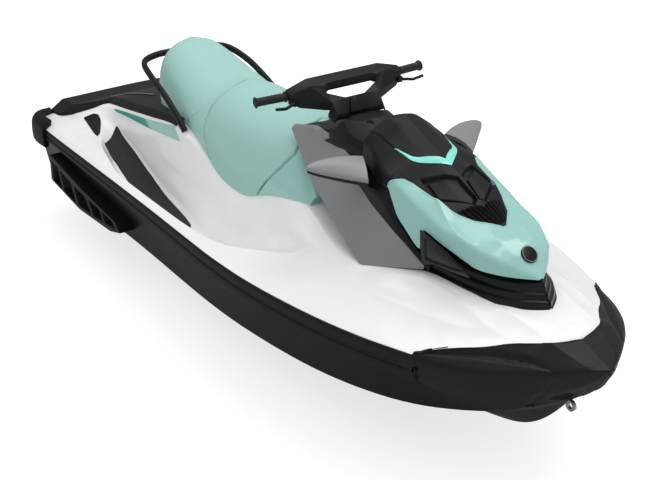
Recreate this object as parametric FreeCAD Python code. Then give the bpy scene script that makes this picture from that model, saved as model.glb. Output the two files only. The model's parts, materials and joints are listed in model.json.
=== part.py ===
"""Personal watercraft: V hull, deck, straddle seat, opening front hood, turning bars and water jet.

All sizes are in millimetres. Stations run forward from the transom, breadths run to port, and
heights run up from the keel. A table whose name ends in shares gives sections or outlines as parts
of the craft's length, of half its beam and of its body height. The finished pieces are then moved
so that the origin lies at mid length on the waterline.
"""
import FreeCAD
import Part
import math
import os

V = FreeCAD.Vector

# Driving dimensions of the whole craft
length = 3318.0
beam = 1250.0
body_height = 1000.0
draft = 238.0
half_beam = beam / 2

# Joint between hull and deck, and the rubbing rail that covers it
joint_height = 455.0
rail_foot = 430.0
rail_inset = 24.0
rail_wall = 22.0
rail_lip = 3.0
rail_skirt = 6.0
rail_top_stern = 470.0
rail_top_bow = 528.0
rail_back = 112.0
rail_front = 2862.0

# Bow bumper
bumper_foot = 402.0
bumper_back = 2852.0
bumper_inset = 16.0
bumper_crest = 555.0

# Working gaps and cutting lengths
moving_gap = 6.0
seat_gap = 0.3
pin_gap = 0.05
overrun = 5.0
above_all = 1400.0

axis_x = V(1, 0, 0)


def along(table, x, column):
    """Value of one column of a share table at station x, straight between its rows."""
    share = x / length
    for low, high in zip(table, table[1:]):
        if low[0] <= share <= high[0]:
            part = (share - low[0]) / (high[0] - low[0])
            return low[column] + part * (high[column] - low[column])
    return table[0][column] if share < table[0][0] else table[-1][column]


def mirrored(shape):
    return shape.mirror(V(0, 0, 0), V(0, 1, 0))


def sided(shape, side):
    """The shape itself for port, and its mirror image for starboard."""
    return shape if side > 0 else mirrored(shape)


def both(shape):
    return shape.fuse(mirrored(shape))


def polygon(points):
    return Part.makePolygon(points + points[:1])


def ring(x, half_points):
    """Closed wire at station x from half a section, mirrored to the other side."""
    port = [V(x, y, z) for y, z in half_points]
    starboard = [V(x, -y, z) for y, z in reversed(half_points) if y > 0]
    return polygon(port + starboard)


def side_ring(x, points):
    return polygon([V(x, y, z) for y, z in points])


def pairs_of(row, first, last):
    """Breadths and heights of one table row, from its column first up to its column last."""
    return [(row[n] * half_beam, row[n + 1] * body_height) for n in range(first, last, 2)]


def crowned_ring(row):
    """Section with a flat foot, the row's own corners, and a crown in its last column."""
    pairs = pairs_of(row, 1, len(row) - 1)
    return ring(row[0] * length, [(0, pairs[0][1])] + pairs + [(0, row[-1] * body_height)])


def loft(rings, ruled=False):
    solid = Part.makeLoft(rings, True, ruled)
    if solid.Volume < 0:
        solid.reverse()
    return solid


def box(low, high):
    return Part.makeBox(high[0] - low[0], high[1] - low[1], high[2] - low[2], V(*low))


def side_box(x_low, x_high, near, far, z_low, z_high):
    """Box between two stations and two heights, from breadth near to breadth far on either side."""
    low, high = sorted((near, far))
    return box((x_low, low, z_low), (x_high, high, z_high))


def rod(start, end, radius):
    return Part.makeCylinder(radius, (end - start).Length, start, end - start)


def tube_path(points, radius):
    """Round bar through the points, with a ball at each of them."""
    shape = Part.makeSphere(radius, points[0])
    for start, end in zip(points, points[1:]):
        shape = shape.fuse(rod(start, end, radius)).fuse(Part.makeSphere(radius, end))
    return shape


def plan_prism(points, low, high):
    """Upright prism over an outline seen from above."""
    face = Part.Face(polygon([V(x, y, low) for x, y in points]))
    return face.extrude(V(0, 0, high - low))


def side_prism(points, low, high):
    """Prism over an outline seen from the side, from one breadth to another."""
    face = Part.Face(polygon([V(x, low, z) for x, z in points]))
    return face.extrude(V(0, high - low, 0))


def side_points(shares):
    """Stations and heights of an outline that is given in shares."""
    return [(x * length, z * body_height) for x, z in shares]


def largest(shape):
    return max(shape.Solids, key=lambda solid: solid.Volume)


def save(name, shape):
    solids = [solid for solid in shape.Solids if solid.Volume > 0]
    placed = (solids[0] if len(solids) == 1 else Part.makeCompound(solids)).copy()
    placed.translate(V(-length / 2, 0, -draft))
    if not placed.isValid() or len(solids) != 1:
        print("look at", name, len(solids))
    placed.exportStep("parts/" + name + ".step")


def save_pair(name, shape):
    for side, word in ((1, "left"), (-1, "right")):
        save(name + "_" + word, sided(shape, side))


os.makedirs("parts", exist_ok=True)

# Outer half breadth of the rubbing rail
sheer_shares = (
    (0.0, 0.900), (0.035, 0.930), (0.10, 0.942), (0.20, 0.950), (0.30, 0.957), (0.40, 0.968),
    (0.50, 0.984), (0.55, 0.990), (0.60, 0.984), (0.65, 0.962), (0.70, 0.925), (0.75, 0.875),
    (0.80, 0.806), (0.85, 0.712), (0.875, 0.663), (0.90, 0.605), (0.925, 0.520), (0.95, 0.400),
    (0.975, 0.240), (0.99, 0.115), (1.0, 0.020))


def sheer(x):
    return half_beam * along(sheer_shares, x, 1)


def rail_top(x):
    return rail_top_stern + (rail_top_bow - rail_top_stern) * x / length


# Hull sections: keel height, then strake, inner chine and outer chine, then side breadth
hull_shares = (
    (0.010, 0.000, 0.330, 0.118, 0.700, 0.165, 0.810, 0.178, 0.885),
    (0.100, 0.000, 0.330, 0.118, 0.705, 0.166, 0.820, 0.180, 0.904),
    (0.250, 0.000, 0.330, 0.120, 0.710, 0.170, 0.830, 0.186, 0.915),
    (0.400, 0.000, 0.330, 0.122, 0.715, 0.178, 0.845, 0.196, 0.930),
    (0.550, 0.002, 0.330, 0.130, 0.725, 0.194, 0.865, 0.214, 0.952),
    (0.650, 0.006, 0.320, 0.142, 0.700, 0.208, 0.835, 0.230, 0.924),
    (0.725, 0.020, 0.300, 0.158, 0.640, 0.218, 0.775, 0.240, 0.862),
    (0.790, 0.050, 0.270, 0.180, 0.560, 0.236, 0.690, 0.256, 0.782),
    (0.850, 0.098, 0.225, 0.212, 0.450, 0.262, 0.570, 0.280, 0.670),
    (0.900, 0.165, 0.160, 0.256, 0.310, 0.296, 0.410, 0.312, 0.545),
    (0.935, 0.276, 0.085, 0.318, 0.180, 0.338, 0.255, 0.350, 0.400),
    (0.960, 0.383, 0.030, 0.392, 0.060, 0.398, 0.085, 0.402, 0.250),
    (0.976, 0.424, 0.008, 0.425, 0.016, 0.426, 0.024, 0.427, 0.120))


def hull_ring(row):
    side = row[-1] * half_beam
    return ring(row[0] * length, [(0, row[1] * body_height)] + pairs_of(row, 2, 8) + [
        (side, rail_foot), (side, joint_height), (0, joint_height)])


# Deck: crest, knee and shoulder as breadth and height, then height on the centre line
deck_shares = (
    (0.012, 0.880, 0.482, 0.700, 0.500, 0.560, 0.530, 0.530),
    (0.070, 0.885, 0.495, 0.660, 0.515, 0.480, 0.568, 0.575),
    (0.150, 0.890, 0.500, 0.620, 0.520, 0.445, 0.612, 0.620),
    (0.220, 0.895, 0.502, 0.620, 0.525, 0.438, 0.650, 0.650),
    (0.290, 0.900, 0.503, 0.620, 0.525, 0.432, 0.684, 0.684),
    (0.330, 0.902, 0.504, 0.640, 0.525, 0.428, 0.650, 0.650),
    (0.400, 0.904, 0.505, 0.640, 0.520, 0.425, 0.555, 0.555),
    (0.450, 0.904, 0.506, 0.640, 0.520, 0.425, 0.550, 0.560),
    (0.500, 0.895, 0.508, 0.640, 0.530, 0.425, 0.605, 0.610),
    (0.550, 0.850, 0.512, 0.620, 0.545, 0.425, 0.655, 0.660),
    (0.600, 0.760, 0.530, 0.590, 0.575, 0.440, 0.690, 0.690),
    (0.650, 0.730, 0.550, 0.590, 0.602, 0.470, 0.636, 0.660),
    (0.700, 0.700, 0.572, 0.575, 0.612, 0.500, 0.628, 0.640),
    (0.750, 0.640, 0.585, 0.530, 0.620, 0.450, 0.642, 0.642),
    (0.800, 0.570, 0.588, 0.440, 0.632, 0.345, 0.658, 0.658),
    (0.850, 0.540, 0.560, 0.350, 0.626, 0.262, 0.652, 0.654),
    (0.889, 0.427, 0.545, 0.270, 0.608, 0.180, 0.640, 0.650),
    (0.925, 0.190, 0.577, 0.130, 0.605, 0.080, 0.628, 0.642),
    (0.955, 0.060, 0.600, 0.040, 0.606, 0.022, 0.612, 0.618),
    (0.975, 0.050, 0.584, 0.034, 0.588, 0.018, 0.590, 0.592),
    (0.9995, 0.006, 0.556, 0.004, 0.5565, 0.002, 0.557, 0.5575))


def deck_ring(row):
    """Deck section that stands inside the rail, and reaches its edge where the bow bumper is."""
    station = row[0] * length
    edge = sheer(station)
    if station < bumper_back:
        inner, lip, lip_height = edge - rail_inset, edge - rail_lip, rail_top(station) + rail_lip
    else:
        swell = (station - bumper_back) / (length - bumper_back)
        inner, lip = edge - bumper_inset * (1 - swell) * edge / sheer(bumper_back), edge
        lip_height = rail_top(bumper_back) + (bumper_crest - rail_top(bumper_back)) * swell
    return ring(station, [(0, joint_height), (inner, joint_height), (inner, lip_height - rail_lip),
                          (lip, lip_height)] + pairs_of(row, 1, 7) + [(0, row[-1] * body_height)])


hull_form = loft([hull_ring(row) for row in hull_shares])
deck_form = loft([deck_ring(row) for row in deck_shares])

# Footwells: floor inner edge, outer edge and height, then crest, knee and inner top edge
footwell_shares = (
    (0.115, 0.470, 0.500, 0.486, 0.530, 0.500, 0.465, 0.500, 0.455),
    (0.132, 0.472, 0.560, 0.466, 0.640, 0.500, 0.465, 0.498, 0.448),
    (0.165, 0.482, 0.690, 0.440, 0.745, 0.501, 0.465, 0.490, 0.440),
    (0.220, 0.490, 0.785, 0.385, 0.825, 0.502, 0.465, 0.475, 0.420),
    (0.280, 0.512, 0.790, 0.345, 0.878, 0.502, 0.465, 0.450, 0.400),
    (0.360, 0.560, 0.795, 0.340, 0.888, 0.503, 0.470, 0.450, 0.395),
    (0.450, 0.600, 0.785, 0.342, 0.888, 0.505, 0.465, 0.460, 0.400),
    (0.500, 0.600, 0.760, 0.375, 0.870, 0.507, 0.465, 0.480, 0.405),
    (0.540, 0.592, 0.730, 0.425, 0.835, 0.512, 0.472, 0.530, 0.408),
    (0.562, 0.588, 0.700, 0.460, 0.780, 0.520, 0.478, 0.560, 0.410),
    (0.600, 0.580, 0.640, 0.515, 0.690, 0.540, 0.490, 0.610, 0.425),
    (0.652, 0.545, 0.575, 0.598, 0.597, 0.606, 0.500, 0.630, 0.460))
footwell_open = 820.0
floor_wall = 20.0
tub_inner = 285.0
tub_foot = 525.0
tub_brim = 548.0
side_deck_back = 300.0
side_deck_front = 2185.0
side_deck_inner = 225.0


def footwell_ring(row):
    x, floor_in, floor_out, floor, crest_y, crest_z, knee_y, knee_z, top_in = row
    return side_ring(x * length, [
        (floor_in * half_beam, floor * body_height), (floor_out * half_beam, floor * body_height),
        (crest_y * half_beam, crest_z * body_height), (crest_y * half_beam, footwell_open),
        (top_in * half_beam, footwell_open), (knee_y * half_beam, knee_z * body_height)])


def tub_ring(row):
    """Section of the block that holds a footwell's floor below the joint."""
    low = row[3] * body_height - floor_wall
    return side_ring(row[0] * length, [(tub_inner, low), (tub_foot, low), (tub_brim, joint_height),
                                       (tub_inner, joint_height)])


footwell = loft([footwell_ring(row) for row in footwell_shares])
tub = loft([tub_ring(row) for row in footwell_shares
            if row[3] * body_height - floor_wall < joint_height], True)
side_deck_room = side_box(side_deck_back, side_deck_front, side_deck_inner, beam, 0, above_all)

# Tub under the front hood, and the engine space under the seat
bin_back = 2330.0
bin_front = 2850.0
bin_back_breadth = 150.0
bin_front_breadth = 95.0
bin_floor = 330.0
bin_brim = 690.0
bin_wall = 4.0
engine_back = 880.0
engine_front = 1560.0
engine_breadth = 430.0
engine_height = 360.0
engine_foot = 130.0
bay_margin = 30.0

# Water jet: axis height, tunnel, pump, nozzle and bucket
jet_height = 125.0
tunnel_breadth = 118.0
tunnel_front = 430.0
tunnel_roof = 262.0
pump_back = 165.0
pump_front = 425.0
pump_radius = 84.0
pump_bore = 74.0
pump_flange = 100.0
flange_depth = 14.0
hub_radius = 30.0
impeller_radius = 68.0
impeller_back = 300.0
impeller_front = 370.0
shaft_radius = 13.0
shaft_clear = 3.0
duct_shares = ((0.1690, 0.104, 0.075), (0.2110, 0.066, 0.075), (0.2590, 0.000, 0.062))


def bin_outline(grow):
    back, front = bin_back - grow, bin_front + grow
    wide, narrow = bin_back_breadth + grow, bin_front_breadth + grow
    return [(back, -wide), (front, -narrow), (front, narrow), (back, wide)]


def duct_ring(x, z, radius):
    return Part.Wire(Part.makeCircle(radius, V(x, 0, z), axis_x))


engine = box((engine_back, -engine_breadth / 2, engine_foot),
             (engine_front, engine_breadth / 2, engine_foot + engine_height))
bay = box((engine_back - bay_margin, -engine_breadth / 2 - bay_margin, engine_foot),
          (engine_front + bay_margin, engine_breadth / 2 + bay_margin,
           engine_foot + engine_height + bay_margin))
duct = loft([duct_ring(tunnel_front - overrun, jet_height, pump_bore)] + [
    duct_ring(x * length, z * body_height, radius * body_height) for x, z, radius in duct_shares])
tunnel = box((-overrun, -tunnel_breadth, -above_all), (tunnel_front, tunnel_breadth, tunnel_roof))
shaft_bore = rod(V(tunnel_front - overrun, 0, jet_height), V(engine_back, 0, jet_height),
                 shaft_radius + shaft_clear)
bin_room = plan_prism(bin_outline(bin_wall), bin_floor - bin_wall, above_all)
storage_bin = plan_prism(bin_outline(bin_wall), bin_floor - bin_wall, bin_brim).cut(
    plan_prism(bin_outline(0), bin_floor, above_all))

# Bow bumper: all that lies ahead of the deck's pointed front edge, with a skirt over the stem
bow_edge_shares = (
    (0.8595, 0.74), (0.8595, 0.655), (0.8713, 0.555), (0.8882, 0.427), (0.9057, 0.304),
    (0.9247, 0.187), (0.9394, 0.115), (0.9608, 0.0))
bow_rake_shares = (
    (0.9620, 0.390), (0.9774, 0.429), (0.9888, 0.469), (0.9965, 0.515), (1.0, 0.553),
    (1.01, 0.553), (1.01, 0.390))
skirt_steps = 8
skirt_lean = 2.0
port_edge = [(x * length, y * half_beam) for x, y in bow_edge_shares]
ahead = port_edge + [(x, -y) for x, y in reversed(port_edge[:-1])] + [
    (length + overrun, -beam), (length + overrun, beam)]
bow_room = plan_prism(ahead, joint_height, above_all)
bow_rake = side_prism(side_points(bow_rake_shares), -beam, beam)


def skirt_ring(x):
    """Half section of the skirt, which hangs below the joint and leans in to the stem."""
    edge = sheer(x)
    swell = bumper_inset * min(1.0, edge / sheer(bumper_back))
    return ring(x, [(0, bumper_foot), (edge - skirt_lean * swell, bumper_foot),
                    (edge - swell, joint_height), (0, joint_height)])


skirt_reach = length - overrun - bumper_back
skirt = loft([skirt_ring(bumper_back + skirt_reach * n / skirt_steps) for n in range(skirt_steps + 1)])
bow_bumper = deck_form.common(bow_room).fuse(skirt.cut(hull_form)).cut(bow_rake)

# Rear deck, the dark moulding over the stern and round the seat
rear_deck_shares = (
    (0.0015, 0.760, 0.500, 0.640, 0.545, 0.552),
    (0.033, 0.745, 0.508, 0.620, 0.548, 0.556),
    (0.084, 0.440, 0.575, 0.400, 0.600, 0.600),
    (0.150, 0.436, 0.612, 0.400, 0.640, 0.650),
    (0.220, 0.432, 0.648, 0.400, 0.680, 0.690),
    (0.285, 0.428, 0.680, 0.400, 0.700, 0.705))
rear_deck_depth = 22.0


def rear_deck_ring(row):
    edge, top = pairs_of(row, 1, 5)
    foot = edge[1] - rear_deck_depth
    return ring(row[0] * length, [(0, foot), (edge[0], foot), edge, top, (0, row[-1] * body_height)])


rear_deck = loft([rear_deck_ring(row) for row in rear_deck_shares])

# Hull, side decks with the footwells, and the deck between them
side_deck = deck_form.common(side_deck_room).fuse(tub).cut(footwell).cut(rear_deck)
hull_rooms = [both(tub), tunnel, duct, shaft_bore, bay, bin_room]
deck_rooms = [bow_room, both(side_deck_room), bay, bin_room, rear_deck]
hull, deck = hull_form, deck_form
for room in hull_rooms:
    hull = hull.cut(room)
for room in deck_rooms:
    deck = deck.cut(room)
deck = largest(deck)
save("hull_shell", hull)
save("deck_shell", deck)
save_pair("side_deck", side_deck)
save("bow_bumper", bow_bumper)
save("rear_deck", rear_deck)
save("storage_bin", storage_bin)
save("engine_block", engine)
decks = deck.fuse(both(side_deck))

# Rubbing rail along both sides
rail_steps = 18
rail_stations = [rail_back + (rail_front - rail_back) * n / rail_steps for n in range(rail_steps + 1)]


def rail_curve(inset):
    """Smooth curve along one side, from the stern bumper to the bow bumper."""
    curve = Part.BSplineCurve()
    curve.interpolate([V(x, sheer(x) - inset, 0) for x in rail_stations])
    return curve


outer_curve, inner_curve = rail_curve(0), rail_curve(rail_wall)
rail_ends = [Part.makeLine(outer_curve.StartPoint, inner_curve.StartPoint),
             Part.makeLine(outer_curve.EndPoint, inner_curve.EndPoint)]
rail_edges = Part.__sortEdges__([outer_curve.toShape(), inner_curve.toShape()] + rail_ends)
rail_face = Part.Face(Part.Wire(rail_edges))
rail_face.translate(V(0, 0, rail_foot - rail_skirt))
rail_wedge = side_prism([(0, 0), (length, 0), (length, rail_top_bow), (0, rail_top_stern)], -beam, beam)
rail = rail_face.extrude(V(0, 0, above_all)).common(rail_wedge)
rail = largest(rail.cut(deck_form).cut(hull).cut(bow_bumper))
save_pair("gunwale_rail", rail)

# Stern corner bumpers
corner_shares = ((0.009, 0.80), (0.009, 0.925), (0.0135, 0.958), (0.0330, 0.975), (0.0330, 0.80))
corner_low = 420.0
corner_high = 500.0
corner = plan_prism([(x * length, y * half_beam) for x, y in corner_shares], corner_low, corner_high)
corner = largest(corner.cut(hull).cut(deck).cut(rail).cut(rear_deck))
save_pair("stern_bumper", corner)

# Footwell mats lie on the floor of each well
mat_thick = 4.0
mat_edge = 10.0


def mat_ring(row):
    inner, outer = row[1] * half_beam + mat_edge, row[2] * half_beam - mat_edge
    floor = row[3] * body_height
    return side_ring(row[0] * length, [(inner, floor - overrun), (outer, floor - overrun),
                                       (outer, floor + mat_thick), (inner, floor + mat_thick)])


mat = largest(loft([mat_ring(row) for row in footwell_shares[1:8]]).common(footwell))
save_pair("footwell_mat", mat)

# Sponsons on the hull sides near the stern, with open pockets between their ribs
sponson_shares = (
    (0.080, 0.385), (0.078, 0.250), (0.175, 0.212), (0.275, 0.232), (0.305, 0.262), (0.290, 0.300),
    (0.190, 0.330))
sponson_inner = 500.0
sponson_outer = 606.0
sponson = largest(side_prism(side_points(sponson_shares), sponson_inner, sponson_outer).cut(hull))
save_pair("sponson", sponson)

# Seat and the painted console ahead of it: bottom, low side, high side and top edge, then crown
seat_shares = (
    (0.1690, 0.150, 0.655, 0.160, 0.740, 0.150, 0.840, 0.085, 0.895, 0.905),
    (0.1790, 0.245, 0.655, 0.255, 0.745, 0.230, 0.855, 0.135, 0.920, 0.940),
    (0.1950, 0.285, 0.655, 0.298, 0.750, 0.270, 0.862, 0.165, 0.932, 0.958),
    (0.2170, 0.308, 0.655, 0.320, 0.755, 0.290, 0.855, 0.176, 0.918, 0.948),
    (0.2500, 0.335, 0.655, 0.342, 0.755, 0.300, 0.835, 0.176, 0.890, 0.920),
    (0.2840, 0.352, 0.655, 0.362, 0.745, 0.308, 0.815, 0.176, 0.866, 0.896),
    (0.3150, 0.372, 0.630, 0.380, 0.730, 0.310, 0.800, 0.176, 0.848, 0.880),
    (0.3350, 0.385, 0.600, 0.392, 0.715, 0.312, 0.800, 0.178, 0.860, 0.892),
    (0.3570, 0.396, 0.565, 0.404, 0.700, 0.318, 0.805, 0.180, 0.868, 0.901),
    (0.3850, 0.408, 0.530, 0.418, 0.680, 0.322, 0.800, 0.180, 0.862, 0.896),
    (0.4250, 0.418, 0.510, 0.430, 0.650, 0.325, 0.795, 0.180, 0.858, 0.890),
    (0.4600, 0.420, 0.520, 0.432, 0.650, 0.322, 0.800, 0.178, 0.864, 0.892),
    (0.4900, 0.415, 0.555, 0.428, 0.665, 0.312, 0.810, 0.175, 0.872, 0.896),
    (0.5120, 0.405, 0.585, 0.418, 0.680, 0.300, 0.815, 0.170, 0.874, 0.896),
    (0.5400, 0.415, 0.600, 0.420, 0.690, 0.310, 0.800, 0.190, 0.850, 0.870),
    (0.5700, 0.420, 0.625, 0.420, 0.700, 0.320, 0.755, 0.200, 0.790, 0.810),
    (0.6000, 0.415, 0.645, 0.410, 0.700, 0.330, 0.720, 0.200, 0.730, 0.740))
seat_split_shares = ((0.3380, 1.100), (0.3380, 0.800), (0.3440, 0.735), (0.3680, 0.585), (0.3760, 0.400))
seat_end_shares = ((0.5120, 1.100), (0.5120, 0.900), (0.5330, 0.832), (0.5365, 0.806), (0.5250, 0.745),
                   (0.4900, 0.600), (0.4600, 0.400))


def behind(shares, gap):
    """Room from the stern to a line seen from the side, pulled back by a gap."""
    line = [(x - gap, z) for x, z in side_points(shares)]
    return side_prism([(0, line[0][1])] + line + [(0, line[-1][1])], -beam, beam)


seat_form = loft([crowned_ring(row) for row in seat_shares])
seat_form = seat_form.cut(decks).cut(rear_deck)
seat_rear = largest(seat_form.common(behind(seat_split_shares, seat_gap)))
seat_front = largest(seat_form.cut(behind(seat_split_shares, 0)).common(behind(seat_end_shares, seat_gap)))
console = seat_form.cut(behind(seat_end_shares, 0))
save("seat_rear", seat_rear)

# Steering cowl between seat and hood: grey side panels, then the dark tower between them
panel_shares = (
    (0.512, 0.250, 0.858, 0.246, 0.868, 0.240, 0.882),
    (0.545, 0.335, 0.775, 0.310, 0.840, 0.262, 0.905),
    (0.580, 0.390, 0.715, 0.350, 0.810, 0.285, 0.915),
    (0.620, 0.450, 0.662, 0.390, 0.780, 0.310, 0.905),
    (0.660, 0.485, 0.625, 0.425, 0.750, 0.340, 0.880),
    (0.700, 0.502, 0.610, 0.445, 0.715, 0.365, 0.835),
    (0.740, 0.475, 0.610, 0.425, 0.690, 0.368, 0.775),
    (0.770, 0.415, 0.620, 0.385, 0.675, 0.352, 0.735),
    (0.789, 0.350, 0.640, 0.345, 0.665, 0.342, 0.700))
panel_wall = 12.0


def panel_ring(row):
    outer = pairs_of(row, 1, 7)
    return side_ring(row[0] * length, outer + [(y - panel_wall, z) for y, z in reversed(outer)])


def cowl_ring(row):
    foot, middle, top = pairs_of(row, 1, 7)
    return ring(row[0] * length, [(0, foot[1]), foot, middle, top, (0, top[1])])


cowl = loft([cowl_ring(row) for row in panel_shares])
panel = largest(loft([panel_ring(row) for row in panel_shares]).cut(decks))

tower_shares = (
    (0.505, 0.200, 0.700, 0.205, 0.850, 0.150, 0.872, 0.875),
    (0.545, 0.205, 0.700, 0.215, 0.880, 0.160, 0.908, 0.915),
    (0.580, 0.215, 0.700, 0.230, 0.905, 0.160, 0.940, 0.945),
    (0.610, 0.225, 0.700, 0.240, 0.922, 0.150, 0.962, 0.968),
    (0.635, 0.230, 0.700, 0.245, 0.925, 0.150, 0.972, 0.980),
    (0.6535, 0.230, 0.700, 0.240, 0.920, 0.150, 0.968, 0.976))
tower = loft([crowned_ring(row) for row in tower_shares])
for room in (tower, cowl, both(panel), decks):
    console = console.cut(room)
console = largest(console)

# Glovebox in the tower behind the bars
glove_back = 1712.0
glove_front = 1872.0
glove_breadth = 168.0
glove_floor = 740.0
lid_lap = 9.0
lid_thick = 8.0
lid_ear_depth = 12.0
lid_hinge = (1890.0, 920.0)
lid_fall = 42.0
lid_back = glove_back - lid_lap
lid_front = lid_hinge[0] - lid_lap
lid_half = glove_breadth / 2 + lid_lap


def lid_line(x):
    """Height of the lid's underside, which falls towards the seat."""
    return lid_hinge[1] - (lid_hinge[0] - x) * lid_fall / (lid_hinge[0] - lid_back)


lid = side_prism([(lid_back, lid_line(lid_back)), (lid_front, lid_line(lid_front)),
                  (lid_front, lid_line(lid_front) + lid_thick),
                  (lid_back, lid_line(lid_back) + lid_thick)], -lid_half, lid_half)
lid = lid.fuse(rod(V(lid_hinge[0], -lid_half, lid_hinge[1]), V(lid_hinge[0], lid_half, lid_hinge[1]),
                   lid_thick / 2))
lid = lid.fuse(side_prism([(lid_front - lid_lap, lid_line(lid_front)), (lid_hinge[0], lid_hinge[1]),
                           (lid_hinge[0], lid_hinge[1] + lid_thick / 2),
                           (lid_front, lid_line(lid_front) + lid_thick)], -lid_half / 2, lid_half / 2))
lid_ends = (lid_back - moving_gap, lid_hinge[0] + lid_thick + moving_gap)
lid_room = side_prism([(x, lid_line(x) - moving_gap) for x in lid_ends] + [
    (x, above_all) for x in reversed(lid_ends)], -lid_half - moving_gap, lid_half + moving_gap)
glove_room = box((glove_back, -glove_breadth / 2, glove_floor), (glove_front, glove_breadth / 2, above_all))
tower = tower.cut(lid_room).cut(glove_room)
ear_ends = (lid_ends[0], lid_back + lid_lap)
lid_ear = side_prism([(x, lid_line(x) - lid_ear_depth) for x in ear_ends] + [
    (x, lid_line(x) - seat_gap) for x in reversed(ear_ends)], -lid_half / 2, lid_half / 2)
tower = tower.fuse(lid_ear.cut(glove_room))
save("glovebox_lid", lid)
for room in (tower, lid_room, cowl, both(panel)):
    seat_front = seat_front.cut(room)
seat_front = largest(seat_front)
save("seat_front", seat_front)

# Handlebar: the steering axis leans back from the tower
steer_foot = V(2075.0, 0, 990.0)
steer_axis = V(-0.35, 0, 0.937)
steer_across = V(steer_axis.z, 0, -steer_axis.x)
column_radius = 14.0
column_depth = 60.0
neck_foot = 8.0
neck_height = 92.0
neck_lean = 62.0
neck_half = 66.0
grip_radius = 17.0
grip_inner = V(1841.0, 262.0, 1079.0)
grip_outer = V(1823.0, 388.0, 1075.0)
grip_core = 40.0
pad_back = 1803.0
pad_front = 1852.0
pad_half = 252.0
pad_low = 1088.0
pad_high = 1124.0
arm_width = 44.0
arm_height = 30.0
arm_rows = (V(2015.0, 34.0, 1078.0), V(1935.0, 150.0, 1092.0), V(1836.0, 240.0, 1088.0))
neck_shares = ((0.0, 0.0, 0.79, 0.79), (0.49, 0.36, 0.88, 0.67), (1.0, 1.0, 1.0, 0.61))
neck_taper_share = 0.7

column_top = steer_foot + steer_axis * (neck_foot + column_depth / 2)
column = rod(steer_foot - steer_axis * column_depth, column_top, column_radius)
tower = tower.cut(rod(steer_foot - steer_axis * (column_depth + overrun), column_top,
                      column_radius + pin_gap))
save("steering_tower", tower)


def neck_ring(row):
    """Four-sided section of the neck, square to the steering axis and narrower in front."""
    up, back, half, deep = row
    centre = steer_foot + steer_axis * (neck_foot + up * neck_height) - steer_across * back * neck_lean
    half, deep = half * neck_half, deep * neck_half
    corners = ((deep, half * neck_taper_share), (-deep, half), (-deep, -half),
               (deep, -half * neck_taper_share))
    return polygon([centre + steer_across * a + V(0, b, 0) for a, b in corners])


def arm_ring(point, side):
    rise, reach = V(0, 0, arm_height / 2), V(arm_width / 2, 0, 0)
    middle = V(point.x, side * point.y, point.z)
    return polygon([middle + reach + rise, middle - reach + rise, middle - reach - rise,
                    middle + reach - rise])


cross_pad = box((pad_back, -pad_half, pad_low), (pad_front, pad_half, pad_high))
bars = loft([neck_ring(row) for row in neck_shares], True).fuse(column).fuse(cross_pad)
for side in (1, -1):
    bars = bars.fuse(loft([arm_ring(point, side) for point in arm_rows], True))
grips = []
for side in (1, -1):
    inner = V(grip_inner.x, side * grip_inner.y, grip_inner.z)
    outer = V(grip_outer.x, side * grip_outer.y, grip_outer.z)
    start = V(grip_inner.x, side * (grip_inner.y - grip_core), grip_inner.z)
    bars = bars.fuse(rod(start, outer, grip_radius / 2))
    grips.append(rod(inner, outer, grip_radius))
save("handlebar", bars)
save("grip_left", grips[0].cut(bars))
save("grip_right", grips[1].cut(bars))

# Levers under the grips: a long one to port and a short one to starboard
lever_radius = 6.0
lever_reach_left = 62.0
lever_reach_right = 26.0
lever_root = V(1880.0, 246.0, 1062.0)
lever_elbow = V(1898.0, 300.0, 1056.0)
lever_drop = 4.0
lever_sweep = 21.0
clamp_back = 1846.0
clamp_front = 1886.0
clamp_half = 10.0
clamp_low = 1050.0
clamp_high = 1072.0


def lever(reach):
    tip = lever_elbow + V(-lever_sweep, reach, -lever_drop)
    bar = tube_path([lever_root, lever_elbow, tip], lever_radius)
    return bar.fuse(box((clamp_back, lever_root.y - clamp_half, clamp_low),
                        (clamp_front, lever_root.y + clamp_half, clamp_high)))


save("lever_left", lever(lever_reach_left).cut(bars))
save("lever_right", mirrored(lever(lever_reach_right)).cut(bars))

# Lanyard post on the tower
post_at = V(1960.0, -96.0, 930.0)
post_height = 44.0
post_radius = 11.0
save("lanyard_post", largest(rod(post_at, post_at + V(0, 0, post_height), post_radius).cut(tower)))

# Front bezel, the dark chin under the hood
bezel_shares = (
    (0.7750, 0.345, 0.600, 0.345, 0.690, 0.315, 0.718),
    (0.7900, 0.332, 0.600, 0.332, 0.695, 0.305, 0.722),
    (0.8400, 0.290, 0.600, 0.286, 0.690, 0.258, 0.722),
    (0.8750, 0.230, 0.600, 0.224, 0.685, 0.186, 0.722),
    (0.8990, 0.135, 0.600, 0.128, 0.675, 0.085, 0.718),
    (0.9090, 0.070, 0.600, 0.065, 0.660, 0.035, 0.692),
    (0.9175, 0.012, 0.600, 0.011, 0.640, 0.008, 0.652))
bezel_wall = 14.0
hinge_at = (2972.0, 700.0)
hinge_arm_low = 20.0
hinge_arm_high = 28.0
hinge_pin_radius = 5.0
hinge_pin_half = 34.0
hinge_room_back = 2885.0
hinge_room_side = 1.0
hinge_room_front = 15.0
hinge_room_drop = 16.0


def bezel_ring(row, inset=0.0, rise=0.0):
    foot, middle, top = [(y - inset, z) for y, z in pairs_of(row, 1, 7)]
    return ring(row[0] * length, [(0, foot[1] - rise), (foot[0], foot[1] - rise), middle,
                                  (top[0], top[1] + rise), (0, top[1] + rise)])


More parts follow.
